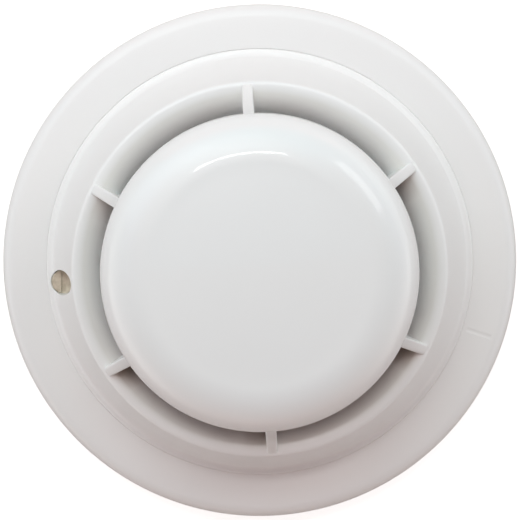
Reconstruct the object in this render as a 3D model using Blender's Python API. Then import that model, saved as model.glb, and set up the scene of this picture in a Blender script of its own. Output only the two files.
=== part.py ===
"""Ceiling heat detector: mounting base, twist-lock detector head and slotted cover.

Metres, +Z up. The origin is the centre of the base's back face, which lies against the
ceiling box. +Z points out into the room and the lock screw is on the -X side.
"""
import math

import bmesh
import bpy
from mathutils import Matrix

MM = 0.001
GAP = 0.3 * MM

# Mounting base
BASE_RADIUS = 51.0 * MM
BASE_HEIGHT = 9.0 * MM
BASE_EDGE_ROUNDING = 2.5 * MM
BASE_WALL = 2.0 * MM
BASE_FLOOR = 2.5 * MM
WELL_RADIUS = 42.5 * MM
CABLE_HOLE_RADIUS = 11.0 * MM
BASE_COLUMNS = 54
FIXING_CENTRES = 60.0 * MM
FIXING_SLOT_WIDTH = 4.4 * MM
FIXING_SLOT_TRAVEL = 6.0 * MM
ALIGNMENT_MARK_ANGLE = -22.0
ALIGNMENT_MARK_WIDTH = 0.7 * MM
ALIGNMENT_MARK_DEPTH = 0.3 * MM

# Twist lock: the head's toes turn in under the base's ledges
LOCK_ANGLES = (0.0, 120.0, 240.0)
LEDGE_INNER_RADIUS = 41.0 * MM
LEDGE_BOTTOM = 6.2 * MM
LEDGE_TOP = 8.2 * MM
LEDGE_HALF_ANGLE = 9.0
TOE_RADIUS = 42.2 * MM
TOE_HALF_ANGLE = 7.0
TOE_BOTTOM = 3.9 * MM
TOE_TOP = 5.8 * MM
TWIST_TRAVEL = 18.0
STOP_CLEARANCE = 1.0
STOP_WIDTH = 3.0
STOP_SETBACK = 0.1 * MM

# Head chassis
CHASSIS_RADIUS = 40.5 * MM
CHASSIS_SKIRT = 1.8 * MM
CHASSIS_BOTTOM = 3.7 * MM
CHASSIS_PLATE_BOTTOM = 6.8 * MM
CHASSIS_TOP = 8.4 * MM
CHASSIS_CHAMFER = 0.3 * MM
CHASSIS_COLUMNS = 42
COVER_TAB_INNER_RADIUS = 36.6 * MM
COVER_TAB_OUTER_RADIUS = 37.8 * MM
COVER_TAB_TOP = 11.6 * MM
COVER_TAB_HALF_ANGLE = 5.0
SUNK = 0.4 * MM

# Cover: one moulding of cone, rim, throat, ribs and dome
LIP_RADIUS = 42.2 * MM
LIP_BOTTOM = 8.8 * MM
LIP_TOP = 9.8 * MM
LIP_INNER_RADIUS = 40.8 * MM
LIP_ROUNDING = 0.4 * MM
LIP_WALL_BEND = 0.6 * MM
CONE_FOOT_RADIUS = 40.6 * MM
CONE_WALL = 1.8 * MM
CONE_INNER_FOOT = LIP_TOP + 1.1 * MM
RIM_RADIUS = 35.4 * MM
RIM_TOP = 29.1 * MM
RIM_ROUNDING = 0.8 * MM
THROAT_RADIUS = 28.9 * MM
THROAT_BOTTOM = 16.6 * MM
THROAT_CURVE_DEPTH = 8.0 * MM
THROAT_WALL = 1.6 * MM
THROAT_CURVE_STEPS = 6
HOLLOW_BELOW_RIM = 2.9 * MM
HOLLOW_CURVE_FOOT = 0.25
HOLLOW_CREST = 0.3
DOME_RADIUS = 30.1 * MM
DOME_EDGE = 38.1 * MM
DOME_FLAT_RADIUS = 20.7 * MM
DOME_SHOULDER_HEIGHT = 6.4 * MM
DOME_CROWN = 0.7 * MM
DOME_WALL = 1.9 * MM
DOME_SKIRT_BOTTOM = 31.6 * MM
RIB_COUNT = 6
RIB_FIRST_ANGLE = 30.0
RIB_WIDTH = 2.1 * MM
RIB_BOTTOM = 26.2 * MM
RIB_BELOW_DOME_EDGE = 0.9 * MM
RIB_FOOT_IN_THROAT = 2.1 * MM
RIB_FOOT_DROP = 0.2 * MM
RIB_FOOT_IN_RIM = 1.4 * MM
RIB_FOOT_RISE = 1.0 * MM
COVER_COLUMNS = 54

# Columns shared by every turned screw
SCREW_COLUMNS = 14

# Lock screw
SCREW_PLACE_RADIUS = 38.9 * MM
SCREW_ANGLE = 181.4
SCREW_HEAD_RADIUS = 2.25 * MM
SCREW_HEAD_TOP = 10.4 * MM
SCREW_HEAD_HEIGHT = 1.6 * MM
SCREW_SHANK_RADIUS = 1.5 * MM
SCREW_TIP = 4.3 * MM
SCREW_SLOT_WIDTH = 1.0 * MM
SCREW_SLOT_DEPTH = 0.8 * MM
SCREW_SLOT_ANGLE = 86.0
SCREW_BOSS_RADIUS = 2.6 * MM
SCREW_BOSS_BOTTOM = 4.1 * MM
SCREW_TUBE_WALL = 0.7 * MM
SCREW_TUBE_INSET = 0.5 * MM
SCREW_TUBE_COLUMNS = 71
COVER_HOLE_RADIUS = 2.5 * MM

# Terminals in the base, and the head's blades that press on them
TERMINAL_ANGLES = (45.0, 135.0, 225.0, 315.0)
TERMINAL_RADIUS = 30.0 * MM
STRIP_WIDTH = 7.0 * MM
STRIP_THICKNESS = 0.6 * MM
STRIP_BOTTOM = BASE_FLOOR + GAP
STRIP_HALF_LENGTH = 7.5 * MM
LEAF_RISE = 0.7 * MM
TERMINAL_SCREW_OFFSET = -4.0 * MM
WASHER_SIDE = 6.6 * MM
WASHER_THICKNESS = 0.7 * MM
WASHER_BOTTOM = 3.7 * MM
TERMINAL_HEAD_RADIUS = 2.9 * MM
TERMINAL_HEAD_BOTTOM = 4.7 * MM
TERMINAL_HEAD_HEIGHT = 1.7 * MM
TERMINAL_SHANK_RADIUS = 1.6 * MM
TERMINAL_SHANK_TIP = 0.6 * MM
TERMINAL_SLOT_WIDTH = 0.8 * MM
TERMINAL_SLOT_DEPTH = 0.8 * MM
TERMINAL_SLOT_TURN = 37.0
BLADE_OFFSET = 3.5 * MM
BLADE_THICKNESS = 1.0 * MM
BLADE_WIDTH = 4.6 * MM
BLADE_FOOT = 4.6 * MM
BLADE_FLANGE_WIDTH = 3.6 * MM
BLADE_FLANGE_BOTTOM = 8.7 * MM
BLADE_TOP = 9.5 * MM
BLADE_LEAD_IN = 0.2 * MM

# Circuit board and its screws
BOARD_RADIUS = 33.5 * MM
BOARD_BOTTOM = 9.9 * MM
BOARD_TOP = 11.5 * MM
BOARD_SCREW_PLACE_RADIUS = 27.0 * MM
BOARD_SCREW_ANGLES = (20.0, 160.0, 280.0)
BOARD_SCREW_HEAD_RADIUS = 2.0 * MM
BOARD_SCREW_HEAD_HEIGHT = 1.3 * MM
BOARD_SCREW_SHANK_RADIUS = 1.0 * MM
BOARD_SCREW_TIP = 7.0 * MM
BOARD_SCREW_SLOT_WIDTH = 0.5 * MM
BOARD_SCREW_SLOT_DEPTH = 0.5 * MM
BOARD_SCREW_SLOT_TURN = 50.0
BOARD_POST_RADIUS = 2.6 * MM
BOARD_POST_TOP = 9.6 * MM
COMPONENT_SEAT = BOARD_TOP + GAP

# Air deflector between the board and the dome
BRIM_RADIUS = 29.8 * MM
BRIM_OUTER_TOP = 16.0 * MM
BRIM_INNER_RADIUS = 18.0 * MM
BRIM_INNER_TOP = 17.4 * MM
CROWN_RADIUS = 16.0 * MM
CROWN_TOP = 28.4 * MM
DEFLECTOR_WALL = 1.2 * MM
DEFLECTOR_LEG_RADIUS = 1.5 * MM
DEFLECTOR_LEG_PLACE_RADIUS = 22.0 * MM
DEFLECTOR_LEG_ANGLES = (90.0, 210.0, 330.0)
BEAD_HOLE_RADIUS = 2.6 * MM
LED_HOLE_RADIUS = 2.2 * MM

# Electronics
BEAD_RADIUS = 1.3 * MM
BEAD_HEIGHT = 33.2 * MM
BEAD_LEAD_RADIUS = 0.25 * MM
REFERENCE_BEAD_RADIUS = 1.0 * MM
REFERENCE_BEAD_HEIGHT = 16.5 * MM
REFERENCE_PLACE = (-5.0 * MM, -8.0 * MM)
REFERENCE_TURN = 25.0
LEAD_SPACING = 0.9 * MM
LED_PLACE = (9.0 * MM, 0.0)
LED_RADIUS = 1.5 * MM
LED_FLANGE_RADIUS = 1.9 * MM
LED_FLANGE_BOTTOM = 24.0 * MM
LED_FLANGE_HEIGHT = 0.8 * MM
LED_TOP = 30.2 * MM
CAPACITOR_PLACE = (-8.5 * MM, 4.5 * MM)
CAPACITOR_RADIUS = 3.15 * MM
CAPACITOR_HEIGHT = 7.0 * MM
CAPACITOR_NECK = 0.35 * MM
CAPACITOR_NECK_HEIGHT = 1.6 * MM
CAPACITOR_EDGE = 0.5 * MM
CHIP_PLACE_RADIUS = 20.5 * MM
CHIP_ANGLES = (235.0, 250.0, 288.0, 303.0)
CHIP_LENGTH = 3.2 * MM
CHIP_WIDTH = 1.6 * MM
CHIP_HEIGHT = 0.65 * MM
CHIP_CAP = 0.5 * MM
CHIP_CAP_PROUD = 0.05 * MM
LEG_THICKNESS = 0.25 * MM
LEG_REACH = 1.1 * MM
LEG_INSIDE = 0.3 * MM
LEG_WIDTH_SHARE = 0.4
LEG_WIDEST_PITCH = 1.3 * MM
PACKAGE_STANDOFF = 0.15 * MM

# Packages: length, width, height, legs on the -Y and +Y sides, place, turn
CONTROLLER = (8.6 * MM, 3.9 * MM, 1.5 * MM, (7, 7), (2.5 * MM, 9.0 * MM), 0.0)
RECTIFIER = (4.8 * MM, 3.9 * MM, 1.9 * MM, (2, 2), (23.9 * MM, 2.1 * MM), 5.0)
TRANSISTOR = (3.0 * MM, 1.5 * MM, 1.1 * MM, (2, 1), (-23.9 * MM, -2.1 * MM), 95.0)

WHITE_PLASTIC = ("white_plastic", (0.86, 0.86, 0.85), 0.32, 0.0)
INNER_PLASTIC = ("inner_plastic", (0.78, 0.78, 0.76), 0.5, 0.0)
NICKEL_STEEL = ("nickel_steel", (0.52, 0.48, 0.40), 0.35, 1.0)
SPRING_BRASS = ("spring_brass", (0.72, 0.56, 0.27), 0.35, 1.0)
ZINC_STEEL = ("zinc_steel", (0.66, 0.67, 0.68), 0.38, 1.0)
BOARD_GREEN = ("board_green", (0.03, 0.22, 0.09), 0.4, 0.0)
COMPONENT_BLACK = ("component_black", (0.02, 0.02, 0.022), 0.5, 0.0)
GLASS_BEAD = ("glass_bead", (0.16, 0.05, 0.03), 0.2, 0.0)
LED_RED = ("led_red", (0.65, 0.03, 0.02), 0.12, 0.0)
CAN_ALUMINIUM = ("can_aluminium", (0.75, 0.76, 0.78), 0.3, 1.0)


# ---------------------------------------------------------------- shape helpers

def polar(radius, degrees):
    """Point at a distance and an angle from the Z axis."""
    angle = math.radians(degrees)
    return radius * math.cos(angle), radius * math.sin(angle)


def arc(centre, radii, start, end, steps):
    """Points of an elliptical arc in the profile plane, both ends included."""
    points = []
    for step in range(steps + 1):
        angle = math.radians(start + (end - start) * step / steps)
        points.append((centre[0] + radii[0] * math.cos(angle), centre[1] + radii[1] * math.sin(angle)))
    return points


def even_columns(count):
    return [2.0 * math.pi * index / count for index in range(count)]


def turn(bm, profile, columns):
    """Turn a closed profile about Z."""
    poles = {}
    rings = []
    for angle in columns:
        ring = []
        for index, (radius, height) in enumerate(profile):
            if radius > 0.0:
                place = (radius * math.cos(angle), radius * math.sin(angle), height)
                ring.append(bm.verts.new(place))
            else:
                if index not in poles:
                    poles[index] = bm.verts.new((0.0, 0.0, height))
                ring.append(poles[index])
        rings.append(ring)
    for column, ring in enumerate(rings):
        following = rings[(column + 1) % len(rings)]
        for side in range(len(profile)):
            after = (side + 1) % len(profile)
            corners = [ring[side], following[side], following[after], ring[after]]
            corners = list(dict.fromkeys(corners))
            if len(corners) > 2:
                bm.faces.new(corners)


def add_box(bm, size, centre):
    matrix = Matrix.Translation(centre) @ Matrix.Diagonal((*size, 1.0))
    bmesh.ops.create_cube(bm, size=1.0, matrix=matrix)


def add_cylinder(bm, radius, bottom, top, place, segments):
    middle = Matrix.Translation((place[0], place[1], (bottom + top) / 2.0))
    bmesh.ops.create_cone(bm, cap_ends=True, segments=segments, radius1=radius, radius2=radius,
                          depth=top - bottom, matrix=middle)


def add_prism(bm, outline, width, matrix):
    """Extrude an outline in the local XZ plane, half the width to each side of it."""
    near = [bm.verts.new(matrix @ Matrix.Translation((x, -width / 2.0, z)).to_translation())
            for x, z in outline]
    face = bm.faces.new(near)
    away = matrix.to_3x3() @ Matrix.Translation((0.0, width, 0.0)).to_translation()
    grown = bmesh.ops.extrude_face_region(bm, geom=[face], use_keep_orig=True)
    moved = [item for item in grown["geom"] if isinstance(item, bmesh.types.BMVert)]
    bmesh.ops.translate(bm, verts=moved, vec=away)


def add_sector(bm, inner, outer, bottom, top, start, end):
    """Arc-shaped block between two radii, two heights and two angles in degrees."""
    steps = max(1, round((end - start) / 6.0))
    rings = []
    for step in range(steps + 1):
        angle = start + (end - start) * step / steps
        corners = []
        for radius, height in ((inner, bottom), (outer, bottom), (outer, top), (inner, top)):
            corners.append(bm.verts.new((*polar(radius, angle), height)))
        rings.append(corners)
    bm.faces.new(rings[0])
    bm.faces.new(rings[-1])
    for ring, following in zip(rings, rings[1:]):
        for side in range(4):
            after = (side + 1) % 4
            bm.faces.new((ring[side], following[side], following[after], ring[after]))


def finish_mesh(bm, name):
    bmesh.ops.recalc_face_normals(bm, faces=bm.faces)
    mesh = bpy.data.meshes.new(name)
    bm.to_mesh(mesh)
    bm.free()
    return mesh


def joined(mesh, tool, operation):
    """Mesh after one Boolean with a tool mesh. Both inputs are used up."""
    body = bpy.data.objects.new("boolean_body", mesh)
    cutter = bpy.data.objects.new("boolean_tool", tool)
    collection = bpy.context.scene.collection
    collection.objects.link(body)
    collection.objects.link(cutter)
    modifier = body.modifiers.new("boolean", "BOOLEAN")
    modifier.operation = operation
    modifier.solver = "EXACT"
    modifier.object = cutter
    graph = bpy.context.evaluated_depsgraph_get()
    result = bpy.data.meshes.new_from_object(body.evaluated_get(graph))
    result.name = mesh.name + "_shape"
    for item in (body, cutter):
        bpy.data.objects.remove(item)
    for used in (mesh, tool):
        bpy.data.meshes.remove(used)
    return result


def material(finish):
    name, colour, roughness, metallic = finish
    if name in bpy.data.materials:
        return bpy.data.materials[name]
    made = bpy.data.materials.new(name)
    made.use_nodes = True
    shader = made.node_tree.nodes["Principled BSDF"]
    shader.inputs["Base Color"].default_value = (*colour, 1.0)
    shader.inputs["Roughness"].default_value = roughness
    shader.inputs["Metallic"].default_value = metallic
    return made


def add_pivot(name, parent=None, location=(0.0, 0.0, 0.0)):
    pivot = bpy.data.objects.new(name, None)
    bpy.context.scene.collection.objects.link(pivot)
    pivot.parent = parent
    pivot.location = location
    return pivot


def add_piece(name, mesh, finish, parent, location=(0.0, 0.0, 0.0), turn_angle=0.0):
    """Add one physical piece. Its location and turn are those under its parent."""
    piece = bpy.data.objects.new(name, mesh)
    bpy.context.scene.collection.objects.link(piece)
    piece.parent = parent
    piece.location = location
    piece.rotation_euler = (0.0, 0.0, math.radians(turn_angle))
    if not mesh.materials:
        mesh.materials.append(material(finish))
    mesh.shade_smooth()
    mesh.set_sharp_from_angle(angle=math.radians(32.0))
    return piece


def screw_mesh(name, head_radius, head_height, shank_radius, shank_length, slot_width, slot_depth):
    """Slotted screw with its head's underside at z = 0 and its shank down -Z."""
    rounding = 0.25 * head_height
    tip_chamfer = 0.4 * shank_radius
    profile = [(0.0, head_height)]
    profile += arc((head_radius - rounding, head_height - rounding), (rounding, rounding), 90.0, 0.0, 2)
    profile += [
        (head_radius, 0.0),
        (shank_radius, 0.0),
        (shank_radius, tip_chamfer - shank_length),
        (shank_radius - tip_chamfer, -shank_length),
        (0.0, -shank_length),
    ]
    bm = bmesh.new()
    turn(bm, profile, even_columns(SCREW_COLUMNS))
    body = finish_mesh(bm, name)
    slot = bmesh.new()
    add_box(slot, (4.0 * head_radius, slot_width, 2.0 * slot_depth), (0.0, 0.0, head_height))
    return joined(body, finish_mesh(slot, "slot"), "DIFFERENCE")


# ---------------------------------------------------------------- mounting base

def base_profile():
    """Floor, well wall, flange and outer wall, with the hollow behind the flange."""
    rounding = BASE_EDGE_ROUNDING
    profile = [
        (CABLE_HOLE_RADIUS, 0.0),
        (WELL_RADIUS + BASE_WALL, 0.0),
        (WELL_RADIUS + BASE_WALL, BASE_HEIGHT - BASE_WALL),
        (BASE_RADIUS - BASE_WALL, BASE_HEIGHT - BASE_WALL),
        (BASE_RADIUS - BASE_WALL, 0.0),
        (BASE_RADIUS, 0.0),
    ]
    corner = (BASE_RADIUS - rounding, BASE_HEIGHT - rounding)
    profile += arc(corner, (rounding, rounding), 0.0, 90.0, 4)
    profile += [
        (WELL_RADIUS, BASE_HEIGHT),
        (WELL_RADIUS, BASE_FLOOR),
        (CABLE_HOLE_RADIUS, BASE_FLOOR),
    ]
    return profile


def add_fixing_slots(bm):
    """Stadium-shaped slots through the floor for the two fixing screws."""
    radius = FIXING_SLOT_WIDTH / 2.0
    for side in (-1.0, 1.0):
        centre = side * FIXING_CENTRES / 2.0
        outline = []
        for end, start in ((1.0, 0.0), (-1.0, 180.0)):
            middle = (0.0, centre + end * FIXING_SLOT_TRAVEL / 2.0)
            outline += arc(middle, (radius, radius), start, start + 180.0, 6)
        bottom = [bm.verts.new((x, y, -BASE_FLOOR)) for x, y in outline]
        grown = bmesh.ops.extrude_face_region(bm, geom=[bm.faces.new(bottom)], use_keep_orig=True)
        moved = [item for item in grown["geom"] if isinstance(item, bmesh.types.BMVert)]
        bmesh.ops.translate(bm, verts=moved, vec=(0.0, 0.0, 3.0 * BASE_FLOOR))


def add_alignment_mark(bm):
    """Shallow V cutter that runs out across the flange."""
    half = ALIGNMENT_MARK_WIDTH / 2.0
    outline = [(-half, ALIGNMENT_MARK_DEPTH), (0.0, -ALIGNMENT_MARK_DEPTH), (half, ALIGNMENT_MARK_DEPTH)]
    flat_width = BASE_RADIUS - BASE_EDGE_ROUNDING - WELL_RADIUS
    middle = (*polar(WELL_RADIUS + 0.55 * flat_width, ALIGNMENT_MARK_ANGLE), BASE_HEIGHT)
    across = Matrix.Rotation(math.radians(ALIGNMENT_MARK_ANGLE - 90.0), 4, "Z")
    add_prism(bm, outline, 0.8 * flat_width, Matrix.Translation(middle) @ across)


def build_base(frame):
    bm = bmesh.new()
    turn(bm, base_profile(), even_columns(BASE_COLUMNS))
    mesh = finish_mesh(bm, "mounting_base")
    into_wall = WELL_RADIUS + 2.0 * SUNK
    into_floor = BASE_FLOOR - SUNK
    ledges = bmesh.new()
    stops = bmesh.new()
    for angle in LOCK_ANGLES:
        lock_stop = angle - TOE_HALF_ANGLE - STOP_CLEARANCE
        free_stop = angle + TWIST_TRAVEL + TOE_HALF_ANGLE + STOP_CLEARANCE
        add_sector(ledges, LEDGE_INNER_RADIUS, into_wall, LEDGE_BOTTOM, LEDGE_TOP,
                   lock_stop - 0.8 * STOP_WIDTH, angle + LEDGE_HALF_ANGLE)
        add_sector(stops, LEDGE_INNER_RADIUS + STOP_SETBACK, into_wall + STOP_SETBACK, into_floor,
                   LEDGE_TOP - STOP_SETBACK, lock_stop - STOP_WIDTH, lock_stop)
        add_sector(stops, LEDGE_INNER_RADIUS + STOP_SETBACK, into_wall + STOP_SETBACK, into_floor,
                   TOE_TOP, free_stop, free_stop + STOP_WIDTH)
    mesh = joined(mesh, finish_mesh(ledges, "ledges"), "UNION")
    mesh = joined(mesh, finish_mesh(stops, "stops"), "UNION")
    cuts = bmesh.new()
    add_fixing_slots(cuts)
    add_alignment_mark(cuts)
    for angle in TERMINAL_ANGLES:
        place = terminal_place(angle, TERMINAL_SCREW_OFFSET)
        add_cylinder(cuts, TERMINAL_SHANK_RADIUS + GAP, -BASE_FLOOR, 2.0 * BASE_FLOOR, place, 16)
    mesh = joined(mesh, finish_mesh(cuts, "cuts"), "DIFFERENCE")
    add_piece("mounting_base", mesh, WHITE_PLASTIC, frame)


# ---------------------------------------------------------------- terminals

def terminal_place(angle, offset):
    """Point at the terminals' radius, moved along the tangent by the offset."""
    x, y = polar(TERMINAL_RADIUS, angle)
    along_x, along_y = polar(offset, angle + 90.0)
    return x + along_x, y + along_y


def strip_mesh():
    """Contact strip: a flat screw end and a sprung leaf. Local X is the tangent."""
    end = STRIP_HALF_LENGTH
    centre_line = [(-end, 0.0), (0.0, 0.0), (0.27 * end, LEAF_RISE), (0.73 * end, LEAF_RISE)]
    centre_line.append((end, 0.35 * LEAF_RISE))
    outline = [(x, STRIP_BOTTOM + z) for x, z in centre_line]
    outline += [(x, STRIP_BOTTOM + STRIP_THICKNESS + z) for x, z in reversed(centre_line)]
    bm = bmesh.new()
    add_prism(bm, outline, STRIP_WIDTH, Matrix())
    hole = bmesh.new()
    add_cylinder(hole, TERMINAL_SHANK_RADIUS + GAP, 0.0, BASE_HEIGHT, (TERMINAL_SCREW_OFFSET, 0.0), 16)
    return joined(finish_mesh(bm, "terminal_strip"), finish_mesh(hole, "hole"), "DIFFERENCE")


def washer_mesh():
    bm = bmesh.new()
    add_box(bm, (WASHER_SIDE, WASHER_SIDE, WASHER_THICKNESS), (0.0, 0.0, WASHER_THICKNESS / 2.0))
    hole = bmesh.new()
    add_cylinder(hole, TERMINAL_SHANK_RADIUS + GAP, -WASHER_THICKNESS, 2.0 * WASHER_THICKNESS,
                 (0.0, 0.0), 16)
    return joined(finish_mesh(bm, "clamp_washer"), finish_mesh(hole, "hole"), "DIFFERENCE")


def build_terminals(frame):
    strip = strip_mesh()
    washer = washer_mesh()
    screw = screw_mesh("terminal_screw", TERMINAL_HEAD_RADIUS, TERMINAL_HEAD_HEIGHT, TERMINAL_SHANK_RADIUS,
                       TERMINAL_HEAD_BOTTOM - TERMINAL_SHANK_TIP, TERMINAL_SLOT_WIDTH, TERMINAL_SLOT_DEPTH)
    for number, angle in enumerate(TERMINAL_ANGLES, start=1):
        x, y = polar(TERMINAL_RADIUS, angle)
        place = terminal_place(angle, TERMINAL_SCREW_OFFSET)
        tangent = angle + 90.0
        add_piece(f"terminal_strip_{number}", strip, SPRING_BRASS, frame, (x, y, 0.0), tangent)
        add_piece(f"clamp_washer_{number}", washer, ZINC_STEEL, frame, (*place, WASHER_BOTTOM), tangent)
        add_piece(f"terminal_screw_{number}", screw, ZINC_STEEL, frame, (*place, TERMINAL_HEAD_BOTTOM),
                  tangent + TERMINAL_SLOT_TURN * number)


# ---------------------------------------------------------------- detector head

def chassis_profile():
    chamfer = CHASSIS_CHAMFER
    return [
        (0.0, CHASSIS_TOP),
        (CHASSIS_RADIUS - chamfer, CHASSIS_TOP),
        (CHASSIS_RADIUS, CHASSIS_TOP - chamfer),
        (CHASSIS_RADIUS, CHASSIS_BOTTOM),
        (CHASSIS_RADIUS - CHASSIS_SKIRT, CHASSIS_BOTTOM),
        (CHASSIS_RADIUS - CHASSIS_SKIRT, CHASSIS_PLATE_BOTTOM),
        (0.0, CHASSIS_PLATE_BOTTOM),
    ]


def build_chassis(head):
    bm = bmesh.new()
    turn(bm, chassis_profile(), even_columns(CHASSIS_COLUMNS))
    mesh = finish_mesh(bm, "head_chassis")
    into_plate = CHASSIS_TOP - SUNK
    added = bmesh.new()
    for angle in LOCK_ANGLES:
        add_sector(added, CHASSIS_RADIUS - 2.0 * SUNK, TOE_RADIUS, TOE_BOTTOM, TOE_TOP,
                   angle - TOE_HALF_ANGLE, angle + TOE_HALF_ANGLE)
        add_sector(added, COVER_TAB_INNER_RADIUS, COVER_TAB_OUTER_RADIUS, into_plate, COVER_TAB_TOP,
                   angle - COVER_TAB_HALF_ANGLE, angle + COVER_TAB_HALF_ANGLE)
    for angle in BOARD_SCREW_ANGLES:
        place = polar(BOARD_SCREW_PLACE_RADIUS, angle)
        add_cylinder(added, BOARD_POST_RADIUS, CHASSIS_PLATE_BOTTOM + SUNK, BOARD_POST_TOP, place, 20)
    screw_place = polar(SCREW_PLACE_RADIUS, SCREW_ANGLE)
    add_cylinder(added, SCREW_BOSS_RADIUS, SCREW_BOSS_BOTTOM, into_plate, screw_place, 24)
    mesh = joined(mesh, finish_mesh(added, "added"), "UNION")
    cuts = bmesh.new()
    add_cylinder(cuts, SCREW_SHANK_RADIUS + GAP, 0.0, BASE_HEIGHT, screw_place, 20)
    for angle in BOARD_SCREW_ANGLES:
        place = polar(BOARD_SCREW_PLACE_RADIUS, angle)
        add_cylinder(cuts, BOARD_SCREW_SHANK_RADIUS + GAP, 0.0, BOARD_TOP, place, 12)
    for angle in TERMINAL_ANGLES:
        slot = Matrix.Translation((*terminal_place(angle, BLADE_OFFSET), CHASSIS_TOP))
        slot @= Matrix.Rotation(math.radians(angle), 4, "Z")
        slot @= Matrix.Diagonal((BLADE_THICKNESS + 2.0 * GAP, BLADE_WIDTH + 2.0 * GAP, CHASSIS_TOP, 1.0))
        bmesh.ops.create_cube(cuts, size=1.0, matrix=slot)
    mesh = joined(mesh, finish_mesh(cuts, "cuts"), "DIFFERENCE")
    add_piece("head_chassis", mesh, INNER_PLASTIC, head)


def blade_mesh():
    """Contact blade with a flange on top. Local X is radial, local Y is the tangent."""
    half = BLADE_THICKNESS / 2.0
    flange = BLADE_FLANGE_WIDTH / 2.0
    right = [
        (half - BLADE_LEAD_IN, BLADE_FOOT),
        (half, BLADE_FOOT + BLADE_LEAD_IN),
        (half, BLADE_FLANGE_BOTTOM),
        (flange, BLADE_FLANGE_BOTTOM),
        (flange, BLADE_TOP),
    ]
    outline = right + [(-x, z) for x, z in reversed(right)]
    bm = bmesh.new()
    add_prism(bm, outline, BLADE_WIDTH, Matrix())
    return finish_mesh(bm, "contact_blade")


def build_blades(head):
    blade = blade_mesh()
    for number, angle in enumerate(TERMINAL_ANGLES, start=1):
        place = terminal_place(angle, BLADE_OFFSET)
        add_piece(f"contact_blade_{number}", blade, SPRING_BRASS, head, (*place, 0.0), angle)


def build_board(head):
    bm = bmesh.new()
    profile = [(0.0, BOARD_TOP), (BOARD_RADIUS, BOARD_TOP)]
    profile += [(BOARD_RADIUS, BOARD_BOTTOM), (0.0, BOARD_BOTTOM)]
    turn(bm, profile, even_columns(CHASSIS_COLUMNS))
    cuts = bmesh.new()
    for angle in BOARD_SCREW_ANGLES:
        place = polar(BOARD_SCREW_PLACE_RADIUS, angle)
        add_cylinder(cuts, BOARD_SCREW_SHANK_RADIUS + GAP, 0.0, 2.0 * BOARD_TOP, place, 12)
    mesh = joined(finish_mesh(bm, "circuit_board"), finish_mesh(cuts, "cuts"), "DIFFERENCE")
    add_piece("circuit_board", mesh, BOARD_GREEN, head)
    screw = screw_mesh("board_screw", BOARD_SCREW_HEAD_RADIUS, BOARD_SCREW_HEAD_HEIGHT,
                       BOARD_SCREW_SHANK_RADIUS, COMPONENT_SEAT - BOARD_SCREW_TIP,
                       BOARD_SCREW_SLOT_WIDTH, BOARD_SCREW_SLOT_DEPTH)
    for number, angle in enumerate(BOARD_SCREW_ANGLES, start=1):
        place = polar(BOARD_SCREW_PLACE_RADIUS, angle)
        add_piece(f"board_screw_{number}", screw, ZINC_STEEL, head, (*place, COMPONENT_SEAT),
                  BOARD_SCREW_SLOT_TURN * number)


# ---------------------------------------------------------------- electronics

def add_leads(bm, top):
    for side in (-1.0, 1.0):
        add_cylinder(bm, BEAD_LEAD_RADIUS, COMPONENT_SEAT, top, (side * LEAD_SPACING, 0.0), 8)


def thermistor_mesh(name, radius, height):
    """Bead on two leads, with the leads' feet just above the board."""
    bead = bmesh.new()
    matrix = Matrix.Translation((0.0, 0.0, height)) @ Matrix.Diagonal((1.0, 0.8, 1.15, 1.0))
    bmesh.ops.create_uvsphere(bead, u_segments=14, v_segments=8, radius=radius, matrix=matrix)
    leads = bmesh.new()
    add_leads(leads, height)
    return joined(finish_mesh(bead, name), finish_mesh(leads, "leads"), "UNION")


def led_mesh():
    """Round indicator lamp with a flange and a domed lens, on two leads."""
    flange_top = LED_FLANGE_BOTTOM + LED_FLANGE_HEIGHT
    profile = [
        (0.0, LED_FLANGE_BOTTOM),
        (LED_FLANGE_RADIUS, LED_FLANGE_BOTTOM),
        (LED_FLANGE_RADIUS, flange_top),
        (LED_RADIUS, flange_top),
    ]
    lens = arc((0.0, LED_TOP - LED_RADIUS), (LED_RADIUS, LED_RADIUS), 0.0, 90.0, 4)
    profile += lens[:-1] + [(0.0, LED_TOP)]
    bm = bmesh.new()
    turn(bm, profile, even_columns(16))
    leads = bmesh.new()
    add_leads(leads, LED_FLANGE_BOTTOM + LED_FLANGE_HEIGHT / 2.0)
    return joined(finish_mesh(bm, "alarm_led"), finish_mesh(leads, "leads"), "UNION")


def capacitor_mesh():
    """Aluminium can with a rolled neck near its foot and a rounded top."""
    neck = CAPACITOR_NECK
    edge = CAPACITOR_EDGE
    radius = CAPACITOR_RADIUS
    top = COMPONENT_SEAT + CAPACITOR_HEIGHT
    profile = [(0.0, COMPONENT_SEAT), (radius - neck, COMPONENT_SEAT), (radius, COMPONENT_SEAT + neck)]
    profile += arc((radius, COMPONENT_SEAT + CAPACITOR_NECK_HEIGHT), (neck, neck), 270.0, 90.0, 4)
    profile += arc((radius - edge, top - edge), (edge, edge), 0.0, 90.0, 3)
    profile += [(0.0, top)]
    bm = bmesh.new()
    turn(bm, profile, even_columns(24))
    return finish_mesh(bm, "capacitor")


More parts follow.
